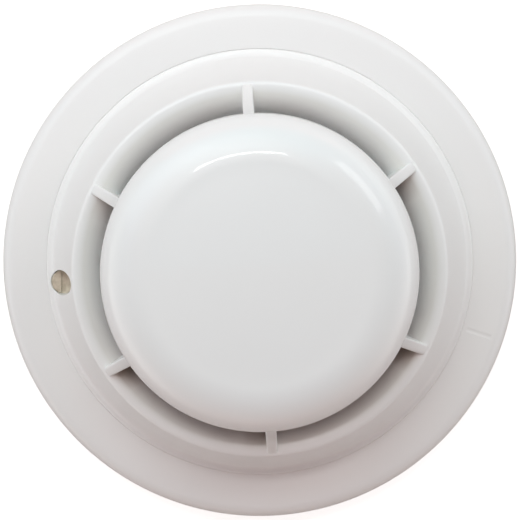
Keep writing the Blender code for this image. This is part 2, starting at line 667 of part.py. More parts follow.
def package_mesh(name, length, width, height, legs_by_side):
    """Moulded package with gull-wing legs; the counts are for its -Y and +Y sides."""
    standoff = PACKAGE_STANDOFF
    body = bmesh.new()
    middle = COMPONENT_SEAT + standoff + (height - standoff) / 2.0
    add_box(body, (length, width, height - standoff), (0.0, 0.0, middle))
    leg_height = COMPONENT_SEAT + 0.45 * height
    knee = 0.4 * LEG_REACH
    thick = LEG_THICKNESS
    inside = -LEG_INSIDE
    outline = [
        (inside, leg_height),
        (knee - thick, leg_height),
        (knee - thick, COMPONENT_SEAT),
        (LEG_REACH, COMPONENT_SEAT),
        (LEG_REACH, COMPONENT_SEAT + thick),
        (knee, COMPONENT_SEAT + thick),
        (knee, leg_height + thick),
        (inside, leg_height + thick),
    ]
    legs = bmesh.new()
    for side, count in zip((-1.0, 1.0), legs_by_side):
        pitch = length / count
        for index in range(count):
            along = (index - (count - 1) / 2.0) * pitch
            matrix = Matrix.Translation((along, side * width / 2.0, 0.0))
            matrix @= Matrix.Rotation(side * math.pi / 2.0, 4, "Z")
            add_prism(legs, outline, LEG_WIDTH_SHARE * min(pitch, LEG_WIDEST_PITCH), matrix)
    return joined(finish_mesh(body, name), finish_mesh(legs, "legs"), "UNION")


def chip_mesh():
    """Chip resistor: a flat body between two slightly larger end caps."""
    end = CHIP_LENGTH / 2.0
    proud = CHIP_CAP_PROUD
    stations = ((-end, proud), (-end + CHIP_CAP, proud), (-end + CHIP_CAP, 0.0),
                (end - CHIP_CAP, 0.0), (end - CHIP_CAP, proud), (end, proud))
    middle = COMPONENT_SEAT + CHIP_HEIGHT / 2.0 + proud
    bm = bmesh.new()
    rings = []
    for x, extra in stations:
        half_width = CHIP_WIDTH / 2.0 + extra
        half_height = CHIP_HEIGHT / 2.0 + extra
        corners = ((-half_width, -half_height), (half_width, -half_height),
                   (half_width, half_height), (-half_width, half_height))
        rings.append([bm.verts.new((x, y, middle + z)) for y, z in corners])
    bm.faces.new(rings[0])
    bm.faces.new(rings[-1])
    for ring, following in zip(rings, rings[1:]):
        for side in range(4):
            after = (side + 1) % 4
            bm.faces.new((ring[side], following[side], following[after], ring[after]))
    return finish_mesh(bm, "resistor")


def build_electronics(head):
    bead = thermistor_mesh("sensing_thermistor", BEAD_RADIUS, BEAD_HEIGHT)
    add_piece("sensing_thermistor", bead, GLASS_BEAD, head)
    reference = thermistor_mesh("reference_thermistor", REFERENCE_BEAD_RADIUS, REFERENCE_BEAD_HEIGHT)
    add_piece("reference_thermistor", reference, GLASS_BEAD, head, (*REFERENCE_PLACE, 0.0), REFERENCE_TURN)
    add_piece("alarm_led", led_mesh(), LED_RED, head, (*LED_PLACE, 0.0), 90.0)
    add_piece("capacitor", capacitor_mesh(), CAN_ALUMINIUM, head, (*CAPACITOR_PLACE, 0.0))
    packages = (("microcontroller", CONTROLLER), ("bridge_rectifier", RECTIFIER),
                ("switching_transistor", TRANSISTOR))
    for name, (length, width, height, legs, place, turn_angle) in packages:
        package = package_mesh(name, length, width, height, legs)
        add_piece(name, package, COMPONENT_BLACK, head, (*place, 0.0), turn_angle)
    chip = chip_mesh()
    for number, angle in enumerate(CHIP_ANGLES, start=1):
        place = polar(CHIP_PLACE_RADIUS, angle)
        add_piece(f"resistor_{number}", chip, COMPONENT_BLACK, head, (*place, 0.0), angle)


def build_deflector(head):
    """Hat-shaped plate: its brim turns the air inwards and its crown covers tall parts."""
    wall = DEFLECTOR_WALL
    profile = [
        (0.0, CROWN_TOP),
        (CROWN_RADIUS - 2.4 * wall, CROWN_TOP - 0.2 * wall),
        (CROWN_RADIUS - 0.6 * wall, CROWN_TOP - wall),
        (CROWN_RADIUS, CROWN_TOP - 2.5 * wall),
        (CROWN_RADIUS + 0.5 * wall, BRIM_INNER_TOP + wall),
        (BRIM_INNER_RADIUS, BRIM_INNER_TOP),
        (BRIM_RADIUS, BRIM_OUTER_TOP),
        (BRIM_RADIUS, BRIM_OUTER_TOP - wall),
        (BRIM_INNER_RADIUS - 0.5 * wall, BRIM_INNER_TOP - wall),
        (CROWN_RADIUS - 0.7 * wall, BRIM_INNER_TOP + 0.4 * wall),
        (CROWN_RADIUS - 1.2 * wall, CROWN_TOP - 2.6 * wall),
        (CROWN_RADIUS - 2.6 * wall, CROWN_TOP - 1.3 * wall),
        (0.0, CROWN_TOP - wall),
    ]
    bm = bmesh.new()
    turn(bm, profile, even_columns(CHASSIS_COLUMNS))
    legs = bmesh.new()
    for angle in DEFLECTOR_LEG_ANGLES:
        place = polar(DEFLECTOR_LEG_PLACE_RADIUS, angle)
        add_cylinder(legs, DEFLECTOR_LEG_RADIUS, COMPONENT_SEAT, BRIM_OUTER_TOP - 0.3 * wall, place, 14)
    mesh = joined(finish_mesh(bm, "air_deflector"), finish_mesh(legs, "legs"), "UNION")
    holes = bmesh.new()
    add_cylinder(holes, BEAD_HOLE_RADIUS, BRIM_INNER_TOP, CROWN_TOP + wall, (0.0, 0.0), 20)
    add_cylinder(holes, LED_HOLE_RADIUS, BRIM_INNER_TOP, CROWN_TOP + wall, LED_PLACE, 20)
    mesh = joined(mesh, finish_mesh(holes, "holes"), "DIFFERENCE")
    add_piece("air_deflector", mesh, INNER_PLASTIC, head)


# ---------------------------------------------------------------- cover

def cone_end():
    """Where the cone's straight side meets the rim's rounding, and that side's slope."""
    centre = (RIM_RADIUS, RIM_TOP - RIM_ROUNDING)
    slope = math.atan2(centre[1] - LIP_TOP, CONE_FOOT_RADIUS - centre[0] - RIM_ROUNDING)
    normal = math.pi / 2.0 - slope
    end = (centre[0] + RIM_ROUNDING * math.cos(normal), centre[1] + RIM_ROUNDING * math.sin(normal))
    return end, slope


def ring_profile():
    """Lip, cone, rounded rim and curved throat, then the hollow side back to the lip."""
    end, slope = cone_end()
    rounding = LIP_ROUNDING
    profile = [(LIP_RADIUS, LIP_BOTTOM)]
    profile += arc((LIP_RADIUS - rounding, LIP_TOP - rounding), (rounding, rounding), 0.0, 90.0, 2)
    profile += [(CONE_FOOT_RADIUS + rounding, LIP_TOP), (CONE_FOOT_RADIUS, LIP_TOP + rounding)]
    rim_centre = (RIM_RADIUS, RIM_TOP - RIM_ROUNDING)
    profile += arc(rim_centre, (RIM_ROUNDING, RIM_ROUNDING), 90.0 - math.degrees(slope), 90.0, 3)
    curve_foot = RIM_TOP - THROAT_CURVE_DEPTH
    curve = (RIM_RADIUS - THROAT_RADIUS, THROAT_CURVE_DEPTH)
    profile += arc((RIM_RADIUS, curve_foot), curve, 90.0, 180.0, THROAT_CURVE_STEPS)[1:]
    profile += [(THROAT_RADIUS, THROAT_BOTTOM), (THROAT_RADIUS + THROAT_WALL, THROAT_BOTTOM)]
    crest = RIM_TOP - HOLLOW_BELOW_RIM
    across_cone = CONE_WALL / math.sin(slope)
    cone_at_crest = end[0] + (end[1] - crest) / math.tan(slope)
    profile += [
        (THROAT_RADIUS + THROAT_WALL, curve_foot + HOLLOW_CURVE_FOOT * THROAT_CURVE_DEPTH),
        (RIM_RADIUS - HOLLOW_CREST * curve[0], crest),
        (cone_at_crest - across_cone, crest),
    ]
    cone_at_foot = end[0] + (end[1] - CONE_INNER_FOOT) / math.tan(slope)
    profile += [
        (cone_at_foot - across_cone, CONE_INNER_FOOT),
        (LIP_INNER_RADIUS, LIP_TOP - LIP_WALL_BEND),
        (LIP_INNER_RADIUS, LIP_BOTTOM),
    ]
    return profile


def dome_profile():
    """Crown, shoulder and skirt outside, then back inside."""
    shoulder = (DOME_RADIUS - DOME_FLAT_RADIUS, DOME_SHOULDER_HEIGHT)
    shoulder_top = DOME_EDGE + DOME_SHOULDER_HEIGHT
    profile = [(0.0, shoulder_top + DOME_CROWN), (0.5 * DOME_FLAT_RADIUS, shoulder_top + 0.75 * DOME_CROWN)]
    profile += arc((DOME_FLAT_RADIUS, DOME_EDGE), shoulder, 90.0, 0.0, 6)
    inside = DOME_RADIUS - DOME_WALL
    profile += [(DOME_RADIUS, DOME_SKIRT_BOTTOM), (inside, DOME_SKIRT_BOTTOM)]
    inner_shoulder = (shoulder[0] - 0.3 * DOME_WALL, shoulder[1] - 0.4 * DOME_WALL)
    centre = (inside - inner_shoulder[0], shoulder_top - DOME_WALL - inner_shoulder[1])
    profile += arc(centre, inner_shoulder, 0.0, 90.0, 4)
    profile += [(0.0, shoulder_top + DOME_CROWN - DOME_WALL)]
    return profile


def rib_mesh():
    """Webs from the rim up to the dome, with both ends of each sunk into the walls."""
    rim_end = (RIM_RADIUS + 0.6 * RIM_ROUNDING, RIM_TOP - 0.7 * RIM_ROUNDING)
    dome_side = (DOME_RADIUS, DOME_EDGE - RIB_BELOW_DOME_EDGE)
    steepness = (dome_side[1] - rim_end[1]) / (rim_end[0] - dome_side[0])
    inner = DOME_RADIUS - 0.6 * DOME_WALL
    outline = [
        rim_end,
        (inner, dome_side[1] + (DOME_RADIUS - inner) * steepness),
        (inner, RIB_BOTTOM),
        (THROAT_RADIUS + RIB_FOOT_IN_THROAT, RIB_BOTTOM - RIB_FOOT_DROP),
        (RIM_RADIUS - RIB_FOOT_IN_RIM, RIB_BOTTOM + RIB_FOOT_RISE),
    ]
    bm = bmesh.new()
    for index in range(RIB_COUNT):
        angle = RIB_FIRST_ANGLE + 360.0 * index / RIB_COUNT
        add_prism(bm, outline, RIB_WIDTH, Matrix.Rotation(math.radians(angle), 4, "Z"))
    return finish_mesh(bm, "ribs")


def screw_tube(place):
    """Guide tube for the lock screw's driver, kept just inside the cone's outer side."""
    end, _ = cone_end()
    inset = SCREW_TUBE_INSET
    foot = CONE_FOOT_RADIUS - inset
    bottom = LIP_BOTTOM + 0.2 * inset
    profile = [(0.0, RIM_TOP), (end[0] - inset, end[1] - inset)]
    profile += [(foot, LIP_TOP), (foot, bottom), (0.0, bottom)]
    volume = bmesh.new()
    turn(volume, profile, even_columns(SCREW_TUBE_COLUMNS))
    tube = bmesh.new()
    add_cylinder(tube, COVER_HOLE_RADIUS + SCREW_TUBE_WALL, LIP_BOTTOM, RIM_TOP - inset, place, 32)
    return joined(finish_mesh(tube, "tube"), finish_mesh(volume, "volume"), "INTERSECT")


def build_cover(slide):
    bm = bmesh.new()
    turn(bm, ring_profile(), even_columns(COVER_COLUMNS))
    turn(bm, dome_profile(), even_columns(COVER_COLUMNS))
    mesh = joined(finish_mesh(bm, "cover"), rib_mesh(), "UNION")
    place = polar(SCREW_PLACE_RADIUS, SCREW_ANGLE)
    mesh = joined(mesh, screw_tube(place), "UNION")
    hole = bmesh.new()
    add_cylinder(hole, COVER_HOLE_RADIUS, 0.0, RIM_TOP + RIM_ROUNDING, place, 32)
    mesh = joined(mesh, finish_mesh(hole, "hole"), "DIFFERENCE")
    add_piece("cover", mesh, WHITE_PLASTIC, slide)


def build_lock_screw(head):
    seat = SCREW_HEAD_TOP - SCREW_HEAD_HEIGHT
    mesh = screw_mesh("lock_screw", SCREW_HEAD_RADIUS, SCREW_HEAD_HEIGHT, SCREW_SHANK_RADIUS,
                      seat - SCREW_TIP, SCREW_SLOT_WIDTH, SCREW_SLOT_DEPTH)
    place = polar(SCREW_PLACE_RADIUS, SCREW_ANGLE)
    add_piece("lock_screw", mesh, NICKEL_STEEL, head, (*place, seat), SCREW_SLOT_ANGLE)


def main():
    for item in list(bpy.data.objects):
        bpy.data.objects.remove(item)
    base_frame = add_pivot("base_frame")
    head_pivot = add_pivot("head_pivot", base_frame)
    cover_slide = add_pivot("cover_slide", head_pivot)
    build_base(base_frame)
    build_terminals(base_frame)
    build_chassis(head_pivot)
    build_blades(head_pivot)
    build_board(head_pivot)
    build_electronics(head_pivot)
    build_deflector(head_pivot)
    build_cover(cover_slide)
    build_lock_screw(head_pivot)


main()
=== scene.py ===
"""Looks of the ceiling heat detector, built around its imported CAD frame.

Metres, +Z out of the ceiling. Sizes come from the CAD nodes where they exist there, and
the named values below add only what the CAD leaves out, such as fine roundings.
"""
import math

import bmesh
import bpy
import numpy as np
from mathutils import Matrix, Vector


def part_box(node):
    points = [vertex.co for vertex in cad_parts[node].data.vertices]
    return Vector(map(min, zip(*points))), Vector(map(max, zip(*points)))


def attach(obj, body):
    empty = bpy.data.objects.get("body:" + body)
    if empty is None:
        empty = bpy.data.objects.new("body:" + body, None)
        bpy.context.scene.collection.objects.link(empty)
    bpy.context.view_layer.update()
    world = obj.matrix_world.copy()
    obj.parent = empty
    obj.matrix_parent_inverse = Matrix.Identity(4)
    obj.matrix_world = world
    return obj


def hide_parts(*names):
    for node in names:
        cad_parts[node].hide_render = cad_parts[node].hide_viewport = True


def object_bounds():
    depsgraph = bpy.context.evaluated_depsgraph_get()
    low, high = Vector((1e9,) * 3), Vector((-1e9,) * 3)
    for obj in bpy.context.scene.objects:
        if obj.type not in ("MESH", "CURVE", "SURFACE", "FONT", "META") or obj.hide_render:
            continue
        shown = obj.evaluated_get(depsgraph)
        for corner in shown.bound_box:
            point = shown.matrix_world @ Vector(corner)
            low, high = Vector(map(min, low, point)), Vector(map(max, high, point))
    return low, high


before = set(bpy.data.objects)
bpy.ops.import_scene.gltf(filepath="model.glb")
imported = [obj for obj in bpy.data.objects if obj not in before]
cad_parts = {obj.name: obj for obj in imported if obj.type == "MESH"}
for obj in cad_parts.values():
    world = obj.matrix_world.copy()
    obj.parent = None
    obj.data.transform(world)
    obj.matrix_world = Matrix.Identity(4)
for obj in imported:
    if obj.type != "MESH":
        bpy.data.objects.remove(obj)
CAD_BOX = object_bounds()

MM = 0.001

# Fine detail of the mouldings
COVER_COLUMNS = 240
BASE_COLUMNS = 240
SCREW_COLUMNS = 64
HOLE_ROUNDING = 0.22 * MM
SMALL_ROUNDING = 0.2 * MM
LIP_ROUNDING = 0.4 * MM
LIP_LEDGE = 1.6 * MM
LIP_FILLET = 1.2 * MM
RIM_ROUNDING = 0.8 * MM
COVER_WALL = 1.8 * MM
THROAT_WALL = 1.6 * MM
THROAT_CURVE_DEPTH = 8.0 * MM
HOLLOW_BELOW_RIM = 2.9 * MM
DOME_WALL = 1.9 * MM
DOME_CROWN = 0.7 * MM
DOME_SHOULDER_HEIGHT = 6.4 * MM
DOME_SHOULDER_WIDTH = 9.4 * MM
RIB_COUNT = 6
RIB_FIRST_ANGLE = 30.0
RIB_WIDTH = 2.1 * MM
RIB_BOTTOM_BELOW_RIM = 2.9 * MM
RIB_BELOW_DOME_EDGE = 0.9 * MM
RIB_ROUNDING = 0.5 * MM
TUBE_WALL = 0.7 * MM
COVER_HOLE_RADIUS = 2.5 * MM
COVER_HOLE_LEAN = 0.035
BASE_EDGE_ROUNDING = 2.5 * MM
BASE_WALL = 2.0 * MM
WELL_EDGE = 0.285 * MM
STOP_SETBACK = 0.1 * MM
BASE_SCREW_HOLE_RADIUS = 1.9 * MM
THROUGH = 1.0 * MM
MARK_ANGLE = math.radians(-22.0)
MARK_HALF_WIDTH = 0.5 * MM
MARK_DEPTH = 0.07 * MM
SCREW_HEAD_HEIGHT = 1.6 * MM
SCREW_SHANK = 1.5 * MM
SCREW_PITCH = 0.5 * MM
SCREW_THREAD_DEPTH = 0.25 * MM
SCREW_SLOT_ANGLE = math.radians(86.0)
SCREW_SLOT = (1.0 * MM, 1.6 * MM)
SOLDER_JOIN = 0.7 * MM
SOLDER_SPREAD = 0.22 * MM
SMOOTH_ANGLE = math.radians(38.0)

# White plastic, and the painted shade, painted light and painted rib shadows in the cover's throat
WHITE = (0.86, 0.855, 0.845)
DEFLECTOR_WHITE = (0.82, 0.815, 0.80)
CHASSIS_WHITE = (0.74, 0.73, 0.70)
WHITE_ROUGHNESS = 0.34
WHITE_GRAIN = 0.006 * MM
# Painted shade on the throat's lower side, and its share on the dome's underside
THROAT_PAINTED_SHADE = (0.40, 0.34, 0.32)
UNDERSIDE_PAINTED_SHADE = 0.4
# Beige tone at the throat's rim, and painted light that brightens the throat next to the dome
THROAT_RIM_TONE = (0.79, 0.78, 0.745)
THROAT_PAINTED_LIGHT = (0.95, 0.95, 0.945)
# Painted shadow below the ribs and how far it reaches
RIB_PAINTED_SHADOW = (0.13, 0.06, 0.015)
RIB_SHADOW_REACH = 5.5 * MM
# Each shadowed rib's angle, the side of it that gets a painted shadow and how strongly
SHADOWED_RIB_SIDES = (
    (30.0, -1.0, 0.5), (150.0, 1.0, 0.3), (210.0, 1.0, 1.0), (270.0, -1.0, 0.6), (330.0, -1.0, 1.0),
)

# Metals as (colour, tarnish, roughness); finishes as (colour, metallic, roughness)
DULL_NICKEL = ((0.60, 0.57, 0.47), (0.45, 0.42, 0.33), 0.42)
ZINC_PLATE = ((0.66, 0.67, 0.68), (0.50, 0.50, 0.48), 0.36)
ROLLED_BRASS = ((0.72, 0.55, 0.26), (0.52, 0.37, 0.16), 0.33)
BARE_TIN = ((0.70, 0.69, 0.67), 1.0, 0.34)
BLACK_EPOXY = ((0.018, 0.018, 0.02), 0.0, 0.48)
BEAD_EPOXY = ((0.16, 0.05, 0.03), 0.0, 0.2)
RED_LENS = ((0.62, 0.025, 0.015), 0.0, 0.1)
CAN_SLEEVE = ((0.03, 0.035, 0.06), 0.0, 0.32)
CAN_TOP = ((0.75, 0.76, 0.78), 1.0, 0.28)

# Circuit board
SOLDER_MASK_DARK = (0.018, 0.15, 0.06)
SOLDER_MASK_LIGHT = (0.03, 0.21, 0.085)
MASKED_COPPER = (0.07, 0.33, 0.13)
GLASS_FIBRE = (0.42, 0.36, 0.17)

# Floor
FLOOR_COLOUR = (0.6, 0.57, 0.55)
FLOOR_GLOW = 0.75

# Room light: colours of the lit patches, numbered from straight above outwards
ROOM_LOWEST = -0.08
ROOM_PATCH_SHARPNESS = 20.0
ROOM_PATCHES = 40
ROOM_GLOW = {
    0: (0.363, 0.17, 0.077), 1: (0.948, 0.593, 0.465), 2: (0.13, 0.129, 0.2),
    3: (0.376, 0.112, 0.034), 6: (2.087, 2.121, 2.015), 9: (0.278, 0.181, 0.292),
    11: (0.33, 0.627, 0.644), 14: (0.808, 1.003, 1.07), 19: (0.11, 0.372, 0.421),
    21: (0.0, 0.038, 0.176), 22: (0.234, 0.32, 0.327), 24: (0.0, 0.09, 0.121),
    25: (0.675, 0.679, 0.741), 26: (0.783, 0.771, 0.81), 28: (0.608, 0.446, 0.436),
    29: (1.305, 1.385, 1.366), 30: (0.693, 0.688, 0.644), 31: (0.393, 0.248, 0.197),
    33: (1.662, 1.628, 1.551), 34: (1.915, 1.918, 1.867), 36: (0.691, 0.446, 0.359),
    37: (0.895, 0.941, 0.891), 38: (1.683, 1.667, 1.585), 39: (1.36, 1.284, 1.185),
}

# Area lights: name, azimuth, polar angle, distance, size, power, colour
LIGHTS = (
    ("strip_light", 97.5, 18.0, 1.0, (0.3, 0.05), 0.72, (1.0, 1.0, 1.0)),
    ("side_window", 34.0, 44.0, 1.1, (0.4, 0.25), 1.12, (1.0, 1.0, 1.0)),
    ("near_top", 90.0, 45.0, 0.26, (0.2, 0.2), 0.0487, (0.503, 0.946, 1.0)),
    ("near_low", 90.0, 72.0, 0.2, (0.3, 0.06), 0.0513, (1.0, 0.351, 0.291)),
    ("near_left", 135.0, 52.0, 0.3, (0.2, 0.2), 0.0905, (0.793, 0.899, 1.0)),
    ("near_right", 45.0, 52.0, 0.3, (0.2, 0.2), 0.0177, (0.332, 0.578, 1.0)),
    ("overhead", 90.0, 14.0, 0.5, (0.3, 0.3), 0.1013, (0.0, 0.715, 1.0)),
)

# Camera
CAMERA_DISTANCE = 600.0 * MM
CAMERA_TILT = math.radians(4.0)
CAMERA_AIM = (0.05 * MM, 0.29 * MM)
CAMERA_ROLL = math.radians(4.0)
IMAGE_SIDE = 520.0
BASE_RADIUS_IN_IMAGE = 256.5
SENSOR_WIDTH = 36.0


# ---------------------------------------------------------------- reading the frame

def cad_points(node):
    """Radius, height and angle in degrees of each of a CAD node's points."""
    places = np.array([vertex.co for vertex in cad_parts[node].data.vertices])
    angle = np.degrees(np.arctan2(places[:, 1], places[:, 0]))
    return np.hypot(places[:, 0], places[:, 1]), places[:, 2], angle


def cad_blocks(node, face_radius, low, high):
    """Arc-shaped blocks whose face lies at a radius: (start, end, bottom, top) of each."""
    radius, height, angle = cad_points(node)
    near = (abs(radius - face_radius) < 0.03 * MM) & (height > low) & (height < high)
    found = sorted(zip(angle[near], height[near]))
    groups = [[found[0]]]
    for point in found[1:]:
        if point[0] - groups[-1][-1][0] > 9.0:
            groups.append([])
        groups[-1].append(point)
    if found[0][0] + 360.0 - found[-1][0] < 9.0 and len(groups) > 1:
        groups[0] = [(turn - 360.0, z) for turn, z in groups.pop()] + groups[0]
    blocks = []
    for group in groups:
        turns = [point[0] for point in group]
        heights = [point[1] for point in group]
        blocks.append((min(turns), max(turns), min(heights), max(heights)))
    return blocks


def measure_cover():
    """Sizes of the cover's lip, cone, rim, throat and dome."""
    radius, height, _ = cad_points("cover")
    size = {"lip": radius.max(), "bottom": height.min(), "top": height.max()}
    ring = radius > 0.8 * size["lip"]
    size["rim_top"] = height[ring].max()
    size["rim"] = radius[ring][np.argmax(height[ring])]
    lip_wall = radius > size["lip"] - 0.05 * MM
    size["lip_top"] = height[lip_wall].max() + LIP_ROUNDING
    middle = 0.5 * (size["bottom"] + size["rim_top"])
    size["throat"] = radius[height < middle].min()
    size["throat_bottom"] = height[(radius < size["throat"] + SMALL_ROUNDING) & (height < middle)].min()
    dome = height > size["rim_top"] + SMALL_ROUNDING
    size["dome"] = radius[dome].max()
    size["dome_bottom"] = height[dome & (radius > size["dome"] - 0.05 * MM)].min()
    return size


def measure_screw():
    low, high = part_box("lock_screw")
    middle = (low + high) / 2.0
    return {"place": (middle.x, middle.y), "top": high.z, "tip": low.z}


COVER = measure_cover()
SCREW = measure_screw()


# ---------------------------------------------------------------- mesh helpers

def polar(radius, degrees):
    angle = math.radians(degrees)
    return radius * math.cos(angle), radius * math.sin(angle)


def arc(centre, radii, start, end, steps):
    """Points of an elliptical arc in the profile plane, both ends included."""
    points = []
    for step in range(steps + 1):
        angle = math.radians(start + (end - start) * step / steps)
        points.append((centre[0] + radii[0] * math.cos(angle), centre[1] + radii[1] * math.sin(angle)))
    return points


def between(start, end, steps):
    """Points strictly between two profile points."""
    shares = [step / steps for step in range(1, steps)]
    return [(start[0] + (end[0] - start[0]) * t, start[1] + (end[1] - start[1]) * t) for t in shares]


def turn(bm, profile, columns):
    """Turn a closed profile about Z, with a number of columns round the axis."""
    poles = {}
    grid = []
    for column in range(columns):
        angle = 2.0 * math.pi * column / columns
        ring = []
        for row, (radius, height) in enumerate(profile):
            if radius > 0.0:
                place = (radius * math.cos(angle), radius * math.sin(angle), height)
                ring.append(bm.verts.new(place))
            else:
                if row not in poles:
                    poles[row] = bm.verts.new((0.0, 0.0, height))
                ring.append(poles[row])
        grid.append(ring)
    for column, ring in enumerate(grid):
        following = grid[(column + 1) % len(grid)]
        for row in range(len(profile)):
            after = (row + 1) % len(profile)
            corners = list(dict.fromkeys([ring[row], following[row], following[after], ring[after]]))
            if len(corners) > 2:
                bm.faces.new(corners)


def skin(bm, rings):
    """Join rings of equal length one after another into a tube with closed ends."""
    count = len(rings[0])
    for ring, following in zip(rings, rings[1:]):
        for index in range(count):
            after = (index + 1) % count
            bm.faces.new((ring[index], ring[after], following[after], following[index]))
    bm.faces.new(rings[0])
    bm.faces.new(rings[-1])


def add_cylinder(bm, radius, bottom, top, place, segments):
    middle = Matrix.Translation((place[0], place[1], (bottom + top) / 2.0))
    bmesh.ops.create_cone(bm, cap_ends=True, segments=segments, radius1=radius, radius2=radius,
                          depth=top - bottom, matrix=middle)


def add_block(bm, inner, outer, block, rounding):
    """Arc-shaped block between two radii; block is (start, end, bottom, top)."""
    start, end, bottom, top = block
    steps = max(1, round((end - start) / 1.5))
    part = bmesh.new()
    rings = []
    for step in range(steps + 1):
        angle = start + (end - start) * step / steps
        ring = []
        for radius, height in ((inner, bottom), (outer, bottom), (outer, top), (inner, top)):
            ring.append(part.verts.new((*polar(radius, angle), height)))
        rings.append(ring)
    skin(part, rings)
    bmesh.ops.recalc_face_normals(part, faces=part.faces)
    sharp = [edge for edge in part.edges if edge.calc_face_angle() > SMOOTH_ANGLE]
    bmesh.ops.bevel(part, geom=sharp, offset=rounding, segments=2, profile=0.5, affect="EDGES")
    merge_into(bm, part)


def merge_into(bm, part):
    mesh = bpy.data.meshes.new("part")
    part.to_mesh(mesh)
    part.free()
    bm.from_mesh(mesh)
    bpy.data.meshes.remove(mesh)


def finish_mesh(bm, name):
    bmesh.ops.recalc_face_normals(bm, faces=bm.faces)
    mesh = bpy.data.meshes.new(name)
    bm.to_mesh(mesh)
    bm.free()
    return mesh


def with_modifier(mesh, kind, **settings):
    """The mesh after one modifier. The mesh that goes in is used up."""
    body = bpy.data.objects.new("modifier_body", mesh)
    bpy.context.scene.collection.objects.link(body)
    modifier = body.modifiers.new(kind.lower(), kind)
    for key, value in settings.items():
        setattr(modifier, key, value)
    graph = bpy.context.evaluated_depsgraph_get()
    result = bpy.data.meshes.new_from_object(body.evaluated_get(graph))
    bpy.data.objects.remove(body)
    bpy.data.meshes.remove(mesh)
    return result


def joined(mesh, tool, operation):
    """The mesh after one Boolean with a tool mesh. Both are used up."""
    cutter = bpy.data.objects.new("boolean_tool", tool)
    bpy.context.scene.collection.objects.link(cutter)
    result = with_modifier(mesh, "BOOLEAN", operation=operation, solver="EXACT", object=cutter)
    bpy.data.objects.remove(cutter)
    bpy.data.meshes.remove(tool)
    return result


def add_piece(name, mesh, material, body, stands_for):
    """Add a finished piece that rides on a CAD body and stands for some CAD nodes."""
    piece = bpy.data.objects.new(name, mesh)
    bpy.context.scene.collection.objects.link(piece)
    mesh.materials.clear()
    mesh.materials.append(material)
    mesh.shade_smooth()
    mesh.set_sharp_from_angle(angle=SMOOTH_ANGLE)
    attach(piece, body)
    if stands_for:
        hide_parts(*stands_for)
    return piece


# ---------------------------------------------------------------- materials

def new_material(name):
    material = bpy.data.materials.new(name)
    material.use_nodes = True
    tree = material.node_tree
    return material, tree, tree.nodes["Principled BSDF"]


def add_noise(tree, scale, detail, stretch=(1.0, 1.0, 1.0)):
    """Noise over the object's own coordinates, which are metres; scale is per metre."""
    coordinates = tree.nodes.new("ShaderNodeTexCoord")
    mapping = tree.nodes.new("ShaderNodeMapping")
    mapping.inputs["Scale"].default_value = stretch
    noise = tree.nodes.new("ShaderNodeTexNoise")
    noise.inputs["Scale"].default_value = scale
    noise.inputs["Detail"].default_value = detail
    tree.links.new(coordinates.outputs["Object"], mapping.inputs["Vector"])
    tree.links.new(mapping.outputs["Vector"], noise.inputs["Vector"])
    return noise.outputs["Fac"]


def add_range(tree, value, low, high, source=(0.3, 0.7)):
    ranged = tree.nodes.new("ShaderNodeMapRange")
    ranged.inputs["From Min"].default_value = source[0]
    ranged.inputs["From Max"].default_value = source[1]
    ranged.inputs["To Min"].default_value = low
    ranged.inputs["To Max"].default_value = high
    tree.links.new(value, ranged.inputs["Value"])
    return ranged.outputs["Result"]


def add_mix(tree, factor, first, second):
    """Colour mix; first and second are colours or sockets."""
    mix = tree.nodes.new("ShaderNodeMix")
    mix.data_type = "RGBA"
    for socket, value in ((mix.inputs["A"], first), (mix.inputs["B"], second)):
        if isinstance(value, tuple):
            socket.default_value = (*value, 1.0)
        else:
            tree.links.new(value, socket)
    tree.links.new(factor, mix.inputs["Factor"])
    return mix.outputs["Result"]


def add_bump(tree, shader, layers):
    """Chain of bumps; each layer is (height socket, depth in metres, strength)."""
    normal = None
    for height, depth, strength in layers:
        bump = tree.nodes.new("ShaderNodeBump")
        bump.inputs["Distance"].default_value = depth
        bump.inputs["Strength"].default_value = strength
        tree.links.new(height, bump.inputs["Height"])
        if normal is not None:
            tree.links.new(normal, bump.inputs["Normal"])
        normal = bump.outputs["Normal"]
    tree.links.new(normal, shader.inputs["Normal"])


def shade(colour, share):
    return tuple(part * share for part in colour)


def moulded_plastic(name, colour, roughness, grain_depth):
    """Moulded plastic: faint flow marks in its colour, uneven gloss and a fine grain."""
    material, tree, shader = new_material(name)
    flow = add_range(tree, add_noise(tree, 38.0, 3.0), 0.0, 1.0)
    tone = add_mix(tree, flow, shade(colour, 0.985), colour)
    tree.links.new(tone, shader.inputs["Base Color"])
    gloss = add_range(tree, add_noise(tree, 160.0, 3.0), roughness - 0.03, roughness + 0.04)
    tree.links.new(gloss, shader.inputs["Roughness"])
    grain = add_noise(tree, 3600.0, 2.0)
    sink = add_noise(tree, 55.0, 1.0)
    add_bump(tree, shader, ((sink, 0.06 * MM, 0.25), (grain, grain_depth, 0.35)))
    shader.inputs["IOR"].default_value = 1.5
    shader.inputs["Coat Weight"].default_value = 0.06
    shader.inputs["Coat Roughness"].default_value = 0.1
    return material


